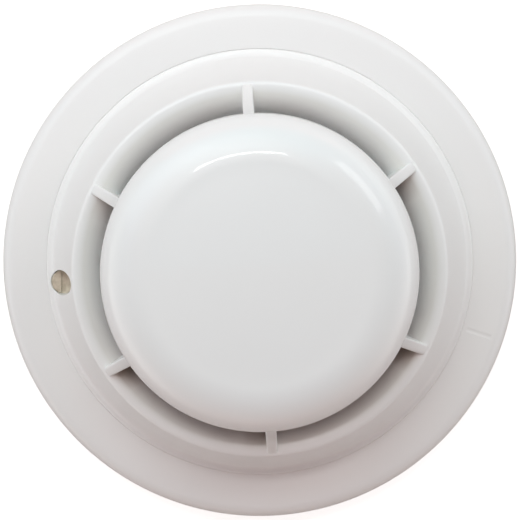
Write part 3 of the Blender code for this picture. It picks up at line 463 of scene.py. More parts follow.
def cover_plastic():
    """The cover's plastic: glossy on the dome, with light and shade painted where the air flows in.

    Painted shade darkens the throat's lower side and the dome's underside, the throat turns
    from a beige tone at the rim to painted light next to the dome, and painted shadows lie
    below the ribs.
    """
    material = moulded_plastic("cover_moulding", WHITE, WHITE_ROUGHNESS, WHITE_GRAIN)
    tree = material.node_tree
    shader = tree.nodes["Principled BSDF"]
    coordinates = tree.nodes.new("ShaderNodeTexCoord").outputs["Object"]
    split = tree.nodes.new("ShaderNodeSeparateXYZ")
    tree.links.new(coordinates, split.inputs["Vector"])
    across, height = split.outputs["Y"], split.outputs["Z"]
    radius = plan_radius(tree, coordinates)
    rim, rim_top, dome = COVER["rim"], COVER["rim_top"], COVER["dome"]
    below_rim = add_range(tree, height, 1.0, 0.0, (rim_top - 0.3 * MM, rim_top))
    inside_rim = product(tree, below_rim, add_range(tree, radius, 1.0, 0.0, (rim - 0.4 * MM, rim)))
    in_throat = product(tree, below_rim, add_range(tree, radius, 1.0, 0.0, (dome, rim - 0.3 * MM)))
    lower_side = add_range(tree, across, 1.0, 0.0, (-0.8 * rim, -0.1 * rim))
    geometry = tree.nodes.new("ShaderNodeNewGeometry")
    facing = tree.nodes.new("ShaderNodeSeparateXYZ")
    tree.links.new(geometry.outputs["True Normal"], facing.inputs["Vector"])
    downward = add_range(tree, facing.outputs["Z"], UNDERSIDE_PAINTED_SHADE, 0.0, (-0.1, 0.0))
    inside_dome = add_range(tree, radius, 1.0, 0.0, (dome - 0.6 * MM, dome - 0.4 * MM))
    uneven_share = add_range(tree, add_noise(tree, 260.0, 3.0), 0.85, 1.0)
    # Painted shade: darker on the throat's lower side and on the dome's underside
    throat_shade = product(tree, product(tree, uneven_share, lower_side),
                   larger(tree, in_throat, product(tree, downward, inside_dome)))
    tone = shader.inputs["Base Color"].links[0].from_socket
    # Painted light: the throat turns lighter towards the dome, from a beige tone at the rim
    by_dome = add_range(tree, radius, 1.0, 0.0, (dome, rim - 1.5 * MM))
    rim_tone_and_painted_light = add_mix(tree, product(tree, uneven_share, by_dome), THROAT_RIM_TONE, THROAT_PAINTED_LIGHT)
    tone = add_mix(tree, inside_rim, tone, rim_tone_and_painted_light)
    tone = add_mix(tree, throat_shade, tone, THROAT_PAINTED_SHADE)
    # Painted shadows on the throat below the ribs
    inner_part = add_range(tree, radius, 1.0, 0.3, (dome + 1.5 * MM, rim - 0.3 * MM))
    rib_shadow_mask = product(tree, product(tree, inside_rim, inner_part), painted_rib_shadows(tree, coordinates))
    tone = add_mix(tree, product(tree, rib_shadow_mask, uneven_share), tone, RIB_PAINTED_SHADOW)
    tree.links.new(tone, shader.inputs["Base Color"])
    dome_only = (rim_top + 1.5 * MM, dome_edge())
    tree.links.new(add_range(tree, height, 0.06, 0.5, dome_only), shader.inputs["Coat Weight"])
    tree.links.new(add_range(tree, height, 0.1, 0.045, dome_only), shader.inputs["Coat Roughness"])
    return material


def painted_rib_shadows(tree, coordinates):
    """Mask of painted rib shadows: strongest against the shaded sides of the ribs, fading to 0 away from
    them.
    """
    total = None
    for angle, side, strength in SHADOWED_RIB_SIDES:
        outward = (*polar(1.0, angle), 0.0)
        sideways = (*polar(1.0, angle + 90.0 * side), 0.0)
        away = dot(tree, coordinates, sideways)
        near = add_range(tree, away, strength, 0.0, (0.4 * RIB_WIDTH, RIB_SHADOW_REACH))
        on_side = add_range(tree, away, 0.0, 1.0, (0.0, 0.4 * RIB_WIDTH))
        outer = add_range(tree, dot(tree, coordinates, outward), 0.0, 1.0, (0.0, 10.0 * MM))
        patch = product(tree, product(tree, near, on_side), outer)
        total = patch if total is None else larger(tree, total, patch)
    return total


def plan_radius(tree, coordinates):
    """Distance from the Z axis."""
    flattened = tree.nodes.new("ShaderNodeVectorMath")
    flattened.operation = "MULTIPLY"
    flattened.inputs[1].default_value = (1.0, 1.0, 0.0)
    tree.links.new(coordinates, flattened.inputs[0])
    radius = tree.nodes.new("ShaderNodeVectorMath")
    radius.operation = "LENGTH"
    tree.links.new(flattened.outputs["Vector"], radius.inputs[0])
    return radius.outputs["Value"]


def dot(tree, vector, direction):
    along = tree.nodes.new("ShaderNodeVectorMath")
    along.operation = "DOT_PRODUCT"
    along.inputs[1].default_value = direction
    tree.links.new(vector, along.inputs[0])
    return along.outputs["Value"]


def combined(tree, operation, first, second):
    maths = tree.nodes.new("ShaderNodeMath")
    maths.operation = operation
    tree.links.new(first, maths.inputs[0])
    tree.links.new(second, maths.inputs[1])
    return maths.outputs["Value"]


def larger(tree, first, second):
    return combined(tree, "MAXIMUM", first, second)


def product(tree, first, second):
    return combined(tree, "MULTIPLY", first, second)


def plated_metal(name, colour, tarnish, roughness):
    """Plated metal: brushed one way, with tarnish in patches and fine scratches."""
    material, tree, shader = new_material(name)
    shader.inputs["Metallic"].default_value = 1.0
    patches = add_range(tree, add_noise(tree, 900.0, 4.0), 0.0, 0.85, (0.42, 0.66))
    tree.links.new(add_mix(tree, patches, colour, tarnish), shader.inputs["Base Color"])
    brushed = add_noise(tree, 2600.0, 3.0, (1.0, 14.0, 1.0))
    tree.links.new(add_range(tree, brushed, roughness - 0.08, roughness + 0.12), shader.inputs["Roughness"])
    add_bump(tree, shader, ((brushed, 0.02 * MM, 0.3),))
    return material


# ---------------------------------------------------------------- cover

def cone_line():
    """The cone's two end points, low then high, and its slope in radians."""
    foot = COVER["lip"] - LIP_LEDGE
    centre = (COVER["rim"], COVER["rim_top"] - RIM_ROUNDING)
    slope = math.atan2(centre[1] - COVER["lip_top"], foot - centre[0] - RIM_ROUNDING)
    normal = math.pi / 2.0 - slope
    high = (centre[0] + RIM_ROUNDING * math.cos(normal), centre[1] + RIM_ROUNDING * math.sin(normal))
    fillet = (foot + LIP_FILLET, COVER["lip_top"] + LIP_FILLET)
    turn_angle = math.pi + normal
    low = (fillet[0] + LIP_FILLET * math.cos(turn_angle), fillet[1] + LIP_FILLET * math.sin(turn_angle))
    return low, high, slope


def outer_profile():
    """The ring's shown side, from the lip's lower corner up to the top of the throat."""
    low, high, slope = cone_line()
    lip, bottom, lip_top = COVER["lip"], COVER["bottom"], COVER["lip_top"]
    small = SMALL_ROUNDING
    points = arc((lip - small, bottom + small), (small, small), 270.0, 360.0, 2)
    points += arc((lip - LIP_ROUNDING, lip_top - LIP_ROUNDING), (LIP_ROUNDING, LIP_ROUNDING), 0.0, 90.0, 4)
    fillet = (lip - LIP_LEDGE + LIP_FILLET, lip_top + LIP_FILLET)
    fillet_end = 270.0 - math.degrees(slope)
    points += arc(fillet, (LIP_FILLET, LIP_FILLET), 270.0, fillet_end, 8)[1:]
    points += between(low, high, 14)
    rim_centre = (COVER["rim"], COVER["rim_top"] - RIM_ROUNDING)
    points += arc(rim_centre, (RIM_ROUNDING, RIM_ROUNDING), 90.0 - math.degrees(slope), 90.0, 7)
    return points


def ring_profile():
    """Closed profile of lip, cone, rim and curved throat, then back inside."""
    points = outer_profile()
    rim, rim_top, throat = COVER["rim"], COVER["rim_top"], COVER["throat"]
    curve_foot = rim_top - THROAT_CURVE_DEPTH
    points += arc((rim, curve_foot), (rim - throat, THROAT_CURVE_DEPTH), 90.0, 180.0, 28)[1:]
    small = SMALL_ROUNDING
    bottom = COVER["throat_bottom"]
    points += between((throat, curve_foot), (throat, bottom + small), 5)
    points += arc((throat + small, bottom + small), (small, small), 180.0, 270.0, 3)
    _, high, slope = cone_line()
    crest = rim_top - HOLLOW_BELOW_RIM
    across = COVER_WALL / math.sin(slope)
    foot_height = COVER["lip_top"] + 1.1 * MM
    lip_inner = COVER["lip"] - 1.4 * MM
    inside = [
        (throat + THROAT_WALL, bottom),
        (throat + THROAT_WALL, curve_foot + 0.25 * THROAT_CURVE_DEPTH),
        (rim - 0.3 * (rim - throat), crest),
        (high[0] + (high[1] - crest) / math.tan(slope) - across, crest),
        (high[0] + (high[1] - foot_height) / math.tan(slope) - across, foot_height),
        (lip_inner, COVER["lip_top"] - 0.6 * MM),
        (lip_inner, COVER["bottom"]),
    ]
    for start, end in zip(inside, inside[1:]):
        points += [start] + between(start, end, max(2, round(math.dist(start, end) / (2.0 * MM))))
    points.append(inside[-1])
    return points


def dome_edge():
    return COVER["top"] - DOME_CROWN - DOME_SHOULDER_HEIGHT


def dome_profile():
    """Closed profile of crown, shoulder and skirt outside, then back inside."""
    shoulder = (DOME_SHOULDER_WIDTH, DOME_SHOULDER_HEIGHT)
    edge = dome_edge()
    flat = COVER["dome"] - DOME_SHOULDER_WIDTH
    points = [(0.0, COVER["top"])]
    for share in (0.05, 0.12, 0.2, 0.3, 0.4, 0.5, 0.6, 0.7, 0.8, 0.9):
        points.append((flat * share, COVER["top"] - DOME_CROWN * share ** 2))
    points += arc((flat, edge), shoulder, 90.0, 0.0, 36)
    small = SMALL_ROUNDING
    bottom = COVER["dome_bottom"]
    points += between((COVER["dome"], edge), (COVER["dome"], bottom + small), 5)
    points += arc((COVER["dome"] - small, bottom + small), (small, small), 0.0, -90.0, 3)
    inside = COVER["dome"] - DOME_WALL
    points += arc((inside + small, bottom + small), (small, small), 270.0, 180.0, 3)
    inner_shoulder = (shoulder[0] - 0.3 * DOME_WALL, shoulder[1] - 0.4 * DOME_WALL)
    inner_top = edge + DOME_SHOULDER_HEIGHT - DOME_WALL
    centre = (inside - inner_shoulder[0], inner_top - inner_shoulder[1])
    points += between(points[-1], (inside, centre[1]), 4)
    points += arc(centre, inner_shoulder, 0.0, 90.0, 12)
    points += between(points[-1], (0.0, inner_top + DOME_CROWN), 6) + [(0.0, inner_top + DOME_CROWN)]
    return points


def rib_mesh():
    """Webs from the rim up to the dome with rounded edges, both ends sunk into the walls."""
    rim_end = (COVER["rim"] + 0.6 * RIM_ROUNDING, COVER["rim_top"] - 0.7 * RIM_ROUNDING)
    dome_side = (COVER["dome"], dome_edge() - RIB_BELOW_DOME_EDGE)
    steepness = (dome_side[1] - rim_end[1]) / (rim_end[0] - dome_side[0])
    inner = COVER["dome"] - 0.6 * DOME_WALL
    rib_bottom = COVER["rim_top"] - RIB_BOTTOM_BELOW_RIM
    outline = [
        rim_end,
        (inner, dome_side[1] + (COVER["dome"] - inner) * steepness),
        (inner, rib_bottom),
        (COVER["throat"] + 2.1 * MM, rib_bottom - 0.2 * MM),
        (COVER["rim"] - 1.4 * MM, rib_bottom + 1.0 * MM),
    ]
    bm = bmesh.new()
    half = RIB_WIDTH / 2.0
    for index in range(RIB_COUNT):
        matrix = Matrix.Rotation(math.radians(RIB_FIRST_ANGLE + 360.0 * index / RIB_COUNT), 4, "Z")
        sides = [[bm.verts.new(matrix @ Vector((x, y, z))) for x, z in outline] for y in (-half, half)]
        skin(bm, sides)
    bmesh.ops.recalc_face_normals(bm, faces=bm.faces)
    bmesh.ops.bevel(bm, geom=bm.edges[:], offset=RIB_ROUNDING, segments=3, profile=0.5, affect="EDGES")
    return finish_mesh(bm, "ribs")


def outer_height(radius):
    """Height of the ring's shown side at a radius; flat inside the rim's top."""
    shown = sorted(outer_profile()[3:])
    return float(np.interp(radius, [r for r, _ in shown], [z for _, z in shown]))


def ring_round(bm, place, radius, height_at, segments=72):
    """A ring of points round a vertical axis, each at its own height."""
    ring = []
    for index in range(segments):
        x, y = polar(radius, 360.0 * index / segments)
        x += place[0]
        y += place[1]
        ring.append(bm.verts.new((x, y, height_at(math.hypot(x, y)))))
    return ring


def lean(bm):
    """Lean a bore towards +Y from the screw's top upwards."""
    for vertex in bm.verts:
        vertex.co.y += COVER_HOLE_LEAN * max(0.0, vertex.co.z - SCREW["top"])


def screw_tube():
    """Guide tube for the driver, its top kept inside the cone's wall."""
    bm = bmesh.new()
    place = SCREW["place"]
    outer = COVER_HOLE_RADIUS + TUBE_WALL
    bottom = COVER["bottom"] + 0.1 * MM
    rings = [ring_round(bm, place, outer, lambda _: bottom)]
    for share in (1.0, 0.92, 0.84, 0.76, 0.68, 0.5):
        rings.append(ring_round(bm, place, outer * share, lambda r: outer_height(r) - 0.6 * MM))
    skin(bm, rings)
    lean(bm)
    return finish_mesh(bm, "screw_tube")


def screw_hole():
    """Cutter for the screw's hole, flared to leave a rounded edge on the sloping cone."""
    bm = bmesh.new()
    place = SCREW["place"]
    hole, rounding = COVER_HOLE_RADIUS, HOLE_ROUNDING
    rings = [ring_round(bm, place, hole, lambda _: COVER["bottom"] - 2.0 * MM)]
    for angle in (0.0, 22.5, 45.0, 67.5):
        spread = rounding * (1.0 - math.cos(math.radians(angle)))
        depth = rounding * (1.0 - math.sin(math.radians(angle)))
        rings.append(ring_round(bm, place, hole + spread, lambda r: outer_height(r) - depth))
    flare = hole + rounding
    rings.append(ring_round(bm, place, flare, lambda r: outer_height(r) + 0.02 * MM))
    rings.append(ring_round(bm, place, flare + 0.1 * MM, lambda _: COVER["rim_top"] + 2.0 * MM))
    skin(bm, rings)
    lean(bm)
    return finish_mesh(bm, "screw_hole")


def build_cover(plastic):
    """Ring, dome, ribs and driver tube in one moulding, with the screw's hole through it."""
    bm = bmesh.new()
    turn(bm, ring_profile(), COVER_COLUMNS)
    turn(bm, dome_profile(), COVER_COLUMNS)
    mesh = joined(finish_mesh(bm, "detector_cover"), rib_mesh(), "UNION")
    mesh = joined(mesh, screw_tube(), "UNION")
    mesh = joined(mesh, screw_hole(), "DIFFERENCE")
    add_piece("detector_cover", mesh, plastic, "cover", ("cover",))


# ---------------------------------------------------------------- mounting base

def base_profile(size):
    """Closed profile of floor, well, flange and outer wall, with its edges rounded."""
    edge = BASE_EDGE_ROUNDING
    small = SMALL_ROUNDING
    corners = [
        (size["cable"], 0.0, small),
        (size["well"] + BASE_WALL, 0.0, small),
        (size["well"] + BASE_WALL, size["height"] - BASE_WALL, 2.0 * small),
        (size["radius"] - BASE_WALL, size["height"] - BASE_WALL, 2.0 * small),
        (size["radius"] - BASE_WALL, 0.0, small),
        (size["radius"], 0.0, 2.0 * small),
        (size["radius"], size["height"], edge),
        (size["well"] - WELL_EDGE, size["height"], 0.6 * small),
        (size["well"] - WELL_EDGE, size["height"] - 0.6 * MM, 0.5 * small),
        (size["well"], size["height"] - 0.9 * MM, 0.5 * small),
        (size["well"], size["floor"], 2.0 * small),
        (size["cable"], size["floor"], small),
    ]
    return rounded(corners)


def rounded(corners):
    """Closed outline with each corner (x, y, radius) turned into an arc."""
    points = []
    for index, (x, y, radius) in enumerate(corners):
        here = Vector((x, y))
        back = (Vector(corners[index - 1][:2]) - here).normalized()
        ahead = (Vector(corners[(index + 1) % len(corners)][:2]) - here).normalized()
        half = back.angle(ahead) / 2.0
        reach = radius / math.tan(half)
        centre = here + (back + ahead).normalized() * radius / math.sin(half)
        first = here + back * reach - centre
        last = here + ahead * reach - centre
        steps = 10 if radius > 1.0 * MM else 3
        sweep = first.angle_signed(last)
        for step in range(steps + 1):
            arm = first.copy()
            arm.rotate(Matrix.Rotation(-sweep * step / steps, 2))
            points.append(tuple(centre + arm))
    return points


def measure_base():
    """Sizes of the base's outline, well, floor, cable hole and fixing slots."""
    radius, height, angle = cad_points("mounting_base")
    size = {"radius": radius.max(), "height": height.max(), "cable": radius.min()}
    top = height > size["height"] - 0.01 * MM
    size["well"] = radius[top].min()
    floor = (height > 1.0 * MM) & (radius < size["cable"] + 0.1 * MM)
    size["floor"] = height[floor].max()
    places = [vertex.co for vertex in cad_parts["mounting_base"].data.vertices]
    slot = [place for place in places if abs(place.x) < 2.5 * MM and place.y > size["cable"] + 1.0 * MM
            and place.z < 1.0 * MM and place.y < 0.8 * size["well"]]
    size["slot"] = (min(p.y for p in slot), max(p.y for p in slot), max(p.x for p in slot))
    return size


def add_fixing_slots(bm, size):
    near, far, half = size["slot"]
    for side in (1.0, -1.0):
        outline = []
        for middle, start in ((far - half, 0.0), (near + half, 180.0)):
            outline += arc((0.0, side * middle), (half, side * half), start, start + 180.0, 14)
        rings = []
        for height in (-THROUGH, size["floor"] + THROUGH):
            rings.append([bm.verts.new((x, y, height)) for x, y in outline])
        skin(bm, rings)


def build_base(plastic):
    """The base turned, its inner blocks added, then its slots, holes and mark cut."""
    size = measure_base()
    bm = bmesh.new()
    turn(bm, base_profile(size), BASE_COLUMNS)
    mesh = finish_mesh(bm, "detector_base")
    into_wall = size["well"] + 1.0 * MM
    radius, _, _ = cad_points("mounting_base")
    ledge_face = radius[radius > 0.9 * size["well"]].min()
    # The ledges' faces, then the stops', which stand a little further out
    for face, grow in ((ledge_face, 0.0), (ledge_face + STOP_SETBACK, STOP_SETBACK)):
        blocks = bmesh.new()
        for start, end, bottom, top in cad_blocks("mounting_base", face, 2.0 * MM, 9.0 * MM):
            low = bottom - 0.5 * MM if bottom < size["floor"] + 0.1 * MM else bottom
            add_block(blocks, face, into_wall + grow, (start, end, low, top), SMALL_ROUNDING)
        mesh = joined(mesh, finish_mesh(blocks, "blocks"), "UNION")
    cuts = bmesh.new()
    add_fixing_slots(cuts, size)
    for number in range(1, 5):
        low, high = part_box(f"terminal_screw_{number}")
        middle = (low + high) / 2.0
        add_cylinder(cuts, BASE_SCREW_HOLE_RADIUS, -THROUGH, size["floor"] + THROUGH, middle, 32)
    add_alignment_mark(cuts, size)
    mesh = joined(mesh, finish_mesh(cuts, "cuts"), "DIFFERENCE")
    add_piece("detector_base", mesh, plastic, "base", ("mounting_base",))


def add_alignment_mark(bm, size):
    """Shallow rounded groove that runs out across the flange."""
    half, depth, over = MARK_HALF_WIDTH, MARK_DEPTH, 0.3 * MM
    section = ((-half, over), (-half, 0.0), (-0.5 * half, -0.6 * depth), (0.0, -depth),
               (0.5 * half, -0.6 * depth), (half, 0.0), (half, over))
    matrix = Matrix.Rotation(MARK_ANGLE, 4, "Z")
    flat = size["radius"] - BASE_EDGE_ROUNDING - size["well"]
    rings = []
    for share in (0.12, 0.95):
        radius = size["well"] + flat * share
        rings.append([bm.verts.new(matrix @ Vector((radius, y, size["height"] + z))) for y, z in section])
    skin(bm, rings)


# ---------------------------------------------------------------- lock screw

def build_lock_screw(metal):
    """Slotted screw with a thread, seen at the bottom of the cover's hole."""
    place = SCREW["place"]
    head, top, tip = COVER_HOLE_RADIUS - 0.05 * MM, SCREW["top"], SCREW["tip"]
    seat = top - SCREW_HEAD_HEIGHT
    shank, thread = SCREW_SHANK, SCREW_PITCH
    small = SMALL_ROUNDING
    profile = [(0.0, top), (0.5 * head, top), (head - 1.5 * small, top)]
    profile += arc((head - small, top - small), (small, small), 90.0, 0.0, 4)
    profile += [(head, seat + 0.1 * MM), (head - 0.1 * MM, seat), (shank + 0.1 * MM, seat)]
    height = seat - small
    while height > tip + 1.5 * thread:
        profile += [(shank, height), (shank - SCREW_THREAD_DEPTH, height - 0.5 * thread)]
        height -= thread
    profile += [(shank - 0.1 * MM, height), (0.6 * shank, tip), (0.0, tip)]
    bm = bmesh.new()
    turn(bm, profile, SCREW_COLUMNS)
    slot = bmesh.new()
    matrix = Matrix.Translation((0.0, 0.0, top)) @ Matrix.Rotation(SCREW_SLOT_ANGLE, 4, "Z")
    matrix = matrix @ Matrix.Diagonal((4.0 * head, *SCREW_SLOT, 1.0))
    bmesh.ops.create_cube(slot, size=1.0, matrix=matrix)
    mesh = joined(finish_mesh(bm, "tamper_screw"), finish_mesh(slot, "slot"), "DIFFERENCE")
    mesh.transform(Matrix.Translation((*place, 0.0)))
    piece = add_piece("tamper_screw", mesh, metal, "lock_screw", ("lock_screw",))
    bevel = piece.modifiers.new("bevel", "BEVEL")
    bevel.width = 0.05 * MM
    bevel.segments = 2
    bevel.limit_method = "ANGLE"
    bevel.angle_limit = math.radians(50.0)


# ---------------------------------------------------------------- inner parts

def dress(node, material, edge=0.08 * MM):
    """Give a CAD node its finish and slightly rounded, evenly shaded edges."""
    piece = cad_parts[node]
    piece.data.materials.clear()
    piece.data.materials.append(material)
    weld = piece.modifiers.new("weld", "WELD")
    weld.merge_threshold = 0.001 * MM
    flat = piece.modifiers.new("flat_faces", "DECIMATE")
    flat.decimate_type = "DISSOLVE"
    flat.angle_limit = math.radians(1.0)
    bevel = piece.modifiers.new("edges", "BEVEL")
    bevel.width = edge
    bevel.segments = 2
    bevel.limit_method = "ANGLE"
    bevel.angle_limit = SMOOTH_ANGLE
    piece.modifiers.new("shading", "WEIGHTED_NORMAL")


def plan_sides(node):
    """Middle of a node's top in plan, its long and short directions, and its points' reach in each."""
    places = np.array([vertex.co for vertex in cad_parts[node].data.vertices])
    top = places[places[:, 2] > places[:, 2].max() - 0.01 * MM]
    top = np.unique(np.round(top, 6), axis=0)[:, :2]
    middle = top.mean(axis=0)
    along, across = np.eye(2)
    if len(top) > 2:
        across, along = np.linalg.eigh(np.cov((top - middle).T))[1].T
    reach_along = abs((top - middle) @ along)
    reach_across = abs((top - middle) @ across)
    return middle, along, across, reach_along, reach_across


def two_finishes(name, place, direction, limit, near, far):
    """One finish within a distance of a place along a direction, another beyond it."""
    material, tree, shader = new_material(name)
    coordinates = tree.nodes.new("ShaderNodeTexCoord")
    offset = tree.nodes.new("ShaderNodeVectorMath")
    offset.operation = "SUBTRACT"
    offset.inputs[1].default_value = place
    tree.links.new(coordinates.outputs["Object"], offset.inputs[0])
    distance = tree.nodes.new("ShaderNodeMath")
    distance.operation = "ABSOLUTE"
    tree.links.new(dot(tree, offset.outputs["Vector"], direction), distance.inputs[0])
    beyond = add_range(tree, distance.outputs["Value"], 0.0, 1.0, (limit - 0.01 * MM, limit + 0.01 * MM))
    uneven = add_noise(tree, 1400.0, 3.0)
    tones = []
    for colour, _, _ in (near, far):
        tones.append(add_mix(tree, add_range(tree, uneven, 0.0, 1.0), shade(colour, 0.86), colour))
    tree.links.new(add_mix(tree, beyond, *tones), shader.inputs["Base Color"])
    tree.links.new(add_range(tree, beyond, near[1], far[1], (0.0, 1.0)), shader.inputs["Metallic"])
    gloss = add_range(tree, beyond, near[2], far[2], (0.0, 1.0))
    worn = combined(tree, "ADD", gloss, add_range(tree, uneven, -0.04, 0.06))
    tree.links.new(worn, shader.inputs["Roughness"])
    add_bump(tree, shader, ((add_noise(tree, 5200.0, 2.0), 0.01 * MM, 0.3),))
    return material


def circuit_board_material():
    """Green solder mask over fine copper tracks, with bare glass fibre round the edge."""
    material, tree, shader = new_material("solder_mask")
    coordinates = tree.nodes.new("ShaderNodeTexCoord")
    tracks = tree.nodes.new("ShaderNodeTexBrick")
    tracks.inputs["Scale"].default_value = 260.0
    tracks.inputs["Mortar Size"].default_value = 0.045
    tracks.inputs["Mortar Smooth"].default_value = 0.2
    for brick in ("Color1", "Color2"):
        tracks.inputs[brick].default_value = (0.0, 0.0, 0.0, 1.0)
    tracks.inputs["Mortar"].default_value = (1.0, 1.0, 1.0, 1.0)
    tree.links.new(coordinates.outputs["Object"], tracks.inputs["Vector"])
    mottled = add_mix(tree, add_range(tree, add_noise(tree, 300.0, 3.0), 0.0, 1.0),
                      SOLDER_MASK_DARK, SOLDER_MASK_LIGHT)
    masked = add_mix(tree, tracks.outputs["Color"], mottled, MASKED_COPPER)
    radius = plan_radius(tree, coordinates.outputs["Object"])
    board_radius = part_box("circuit_board")[1].x
    rim = add_range(tree, radius, 0.0, 1.0, (board_radius - 0.3 * MM, board_radius - 0.2 * MM))
    tree.links.new(add_mix(tree, rim, masked, GLASS_FIBRE), shader.inputs["Base Color"])
    tree.links.new(add_range(tree, rim, 0.3, 0.7, (0.0, 1.0)), shader.inputs["Roughness"])
    weave = add_noise(tree, 2600.0, 2.0)
    add_bump(tree, shader, ((tracks.outputs["Fac"], 0.035 * MM, 0.6), (weave, 0.01 * MM, 0.3)))
    return material


def add_solder(material):
    """Solder under every leg, lead and end cap, from the board up to the part's foot."""
    board_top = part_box("circuit_board")[1].z
    bm = bmesh.new()
    names = ["microcontroller", "bridge_rectifier", "switching_transistor", "alarm_led"]
    names += ["sensing_thermistor", "reference_thermistor"]
    names += [f"resistor_{number}" for number in range(1, 5)]
    for node in names:
        places = np.array([vertex.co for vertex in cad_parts[node].data.vertices])
        foot = places[:, 2].min()
        low = places[places[:, 2] < foot + 0.02 * MM][:, :2]
        _, along, across, _, _ = plan_sides(node)
        turned = np.stack((low @ along, low @ across), axis=1)
        layers = ((board_top, 0.0), (board_top + 0.12 * MM, 0.03 * MM), (foot + 0.02 * MM, 0.2 * MM))
        for cluster in clusters(turned, SOLDER_JOIN):
            start = cluster.min(axis=0) - SOLDER_SPREAD
            end = cluster.max(axis=0) + SOLDER_SPREAD
            rings = []
            for height, inset in layers:
                corners = ((start[0] + inset, start[1] + inset), (end[0] - inset, start[1] + inset),
                           (end[0] - inset, end[1] - inset), (start[0] + inset, end[1] - inset))
                rings.append([bm.verts.new((*(along * u + across * v), height)) for u, v in corners])
            skin(bm, rings)
    bmesh.ops.recalc_face_normals(bm, faces=bm.faces)
    bmesh.ops.bevel(bm, geom=bm.edges[:], offset=0.05 * MM, segments=2, profile=0.5, affect="EDGES")
    add_piece("solder", finish_mesh(bm, "solder"), material, "head", ())


def clusters(points, reach):
    """Points gathered into groups whose members lie within reach of one another."""
    groups = []
    for point in sorted(set(map(tuple, points.tolist()))):
        near = [group for group in groups if min(math.dist(point, other) for other in group) < reach]
        apart = [group for group in groups if group not in near]
        groups = apart + [[point] + [other for group in near for other in group]]
    return [np.array(group) for group in groups]


def dress_inner_parts():
    """Finishes for everything under the cover, and the solder on the board."""
    zinc = plated_metal("zinc_plate", *ZINC_PLATE)
    brass = plated_metal("rolled_brass", *ROLLED_BRASS)
    deflector = moulded_plastic("inner_moulding", DEFLECTOR_WHITE, 0.45, 0.01 * MM)
    chassis = moulded_plastic("chassis_moulding", CHASSIS_WHITE, 0.45, 0.01 * MM)
    dress("circuit_board", circuit_board_material(), 0.12 * MM)
    dress("head_chassis", chassis, 0.15 * MM)
    dress("air_deflector", deflector, 0.15 * MM)
    for number in range(1, 5):
        dress(f"terminal_strip_{number}", brass)
        dress(f"contact_blade_{number}", brass)
        dress(f"clamp_washer_{number}", zinc)
        dress(f"terminal_screw_{number}", zinc)
    for number in range(1, 4):
        dress(f"board_screw_{number}", zinc, 0.06 * MM)
    for node in ("microcontroller", "bridge_rectifier", "switching_transistor"):
        middle, _, across, _, reach = plan_sides(node)
        body_edge = reach.max() + 0.02 * MM
        finish = two_finishes(node + "_finish", (*middle, 0.0), (*across, 0.0), body_edge,
                              BLACK_EPOXY, BARE_TIN)
        dress(node, finish, 0.05 * MM)
    for number in range(1, 5):
        node = f"resistor_{number}"
        middle, along, _, reach, _ = plan_sides(node)
        body_end = reach.min() - 0.02 * MM
        finish = two_finishes(node + "_finish", (*middle, 0.0), (*along, 0.0), body_end,
                              BLACK_EPOXY, BARE_TIN)
        dress(node, finish, 0.03 * MM)
    for node, height, head_finish in (("alarm_led", 6.2 * MM, RED_LENS),
                                      ("sensing_thermistor", 3.0 * MM, BEAD_EPOXY),
                                      ("reference_thermistor", 2.3 * MM, BEAD_EPOXY)):
        top = (0.0, 0.0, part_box(node)[1].z)
        finish = two_finishes(node + "_finish", top, (0.0, 0.0, 1.0), height, head_finish, BARE_TIN)
        dress(node, finish, 0.03 * MM)
    low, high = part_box("capacitor")
    sleeve = high.z - low.z - 0.06 * MM
    finish = two_finishes("capacitor_finish", (0.0, 0.0, low.z), (0.0, 0.0, 1.0), sleeve,
                          CAN_SLEEVE, CAN_TOP)
    dress("capacitor", finish, 0.03 * MM)
    add_solder(zinc)


# ---------------------------------------------------------------- stage, light and camera

def room_directions():
    """Evenly spread directions from straight above down to just below the horizon."""
    turn_step = math.pi * (3.0 - math.sqrt(5.0))
    directions = []
    for index in range(ROOM_PATCHES):
        height = 1.0 - (1.0 - ROOM_LOWEST) * (index + 0.5) / ROOM_PATCHES
        across = math.sqrt(1.0 - height * height)
        directions.append((*polar(across, math.degrees(turn_step * index)), height))
    return directions


def build_world():
    """Soft room: broad patches of light, bright towards +Y and dim and warm towards -Y."""
    world = bpy.data.worlds.new("room")
    bpy.context.scene.world = world
    world.use_nodes = True
    tree = world.node_tree
    background = tree.nodes["Background"]
    coordinates = tree.nodes.new("ShaderNodeTexCoord")
    directions = room_directions()
    total = None
    for number, colour in ROOM_GLOW.items():
        falloff = tree.nodes.new("ShaderNodeMath")
        falloff.operation = "MULTIPLY_ADD"
        falloff.inputs[1].default_value = ROOM_PATCH_SHARPNESS
        falloff.inputs[2].default_value = -ROOM_PATCH_SHARPNESS
        facing = dot(tree, coordinates.outputs["Generated"], directions[number])
        tree.links.new(facing, falloff.inputs[0])
        glow = tree.nodes.new("ShaderNodeMath")
        glow.operation = "EXPONENT"
        tree.links.new(falloff.outputs["Value"], glow.inputs[0])
        patch = tree.nodes.new("ShaderNodeVectorMath")
        patch.operation = "SCALE"
        patch.inputs[0].default_value = colour
        tree.links.new(glow.outputs["Value"], patch.inputs["Scale"])
        if total is None:
            total = patch.outputs["Vector"]
        else:
            both = tree.nodes.new("ShaderNodeVectorMath")
            both.operation = "ADD"
            tree.links.new(total, both.inputs[0])
            tree.links.new(patch.outputs["Vector"], both.inputs[1])
            total = both.outputs["Vector"]
    tree.links.new(total, background.inputs["Color"])
    background.inputs["Strength"].default_value = 1.0


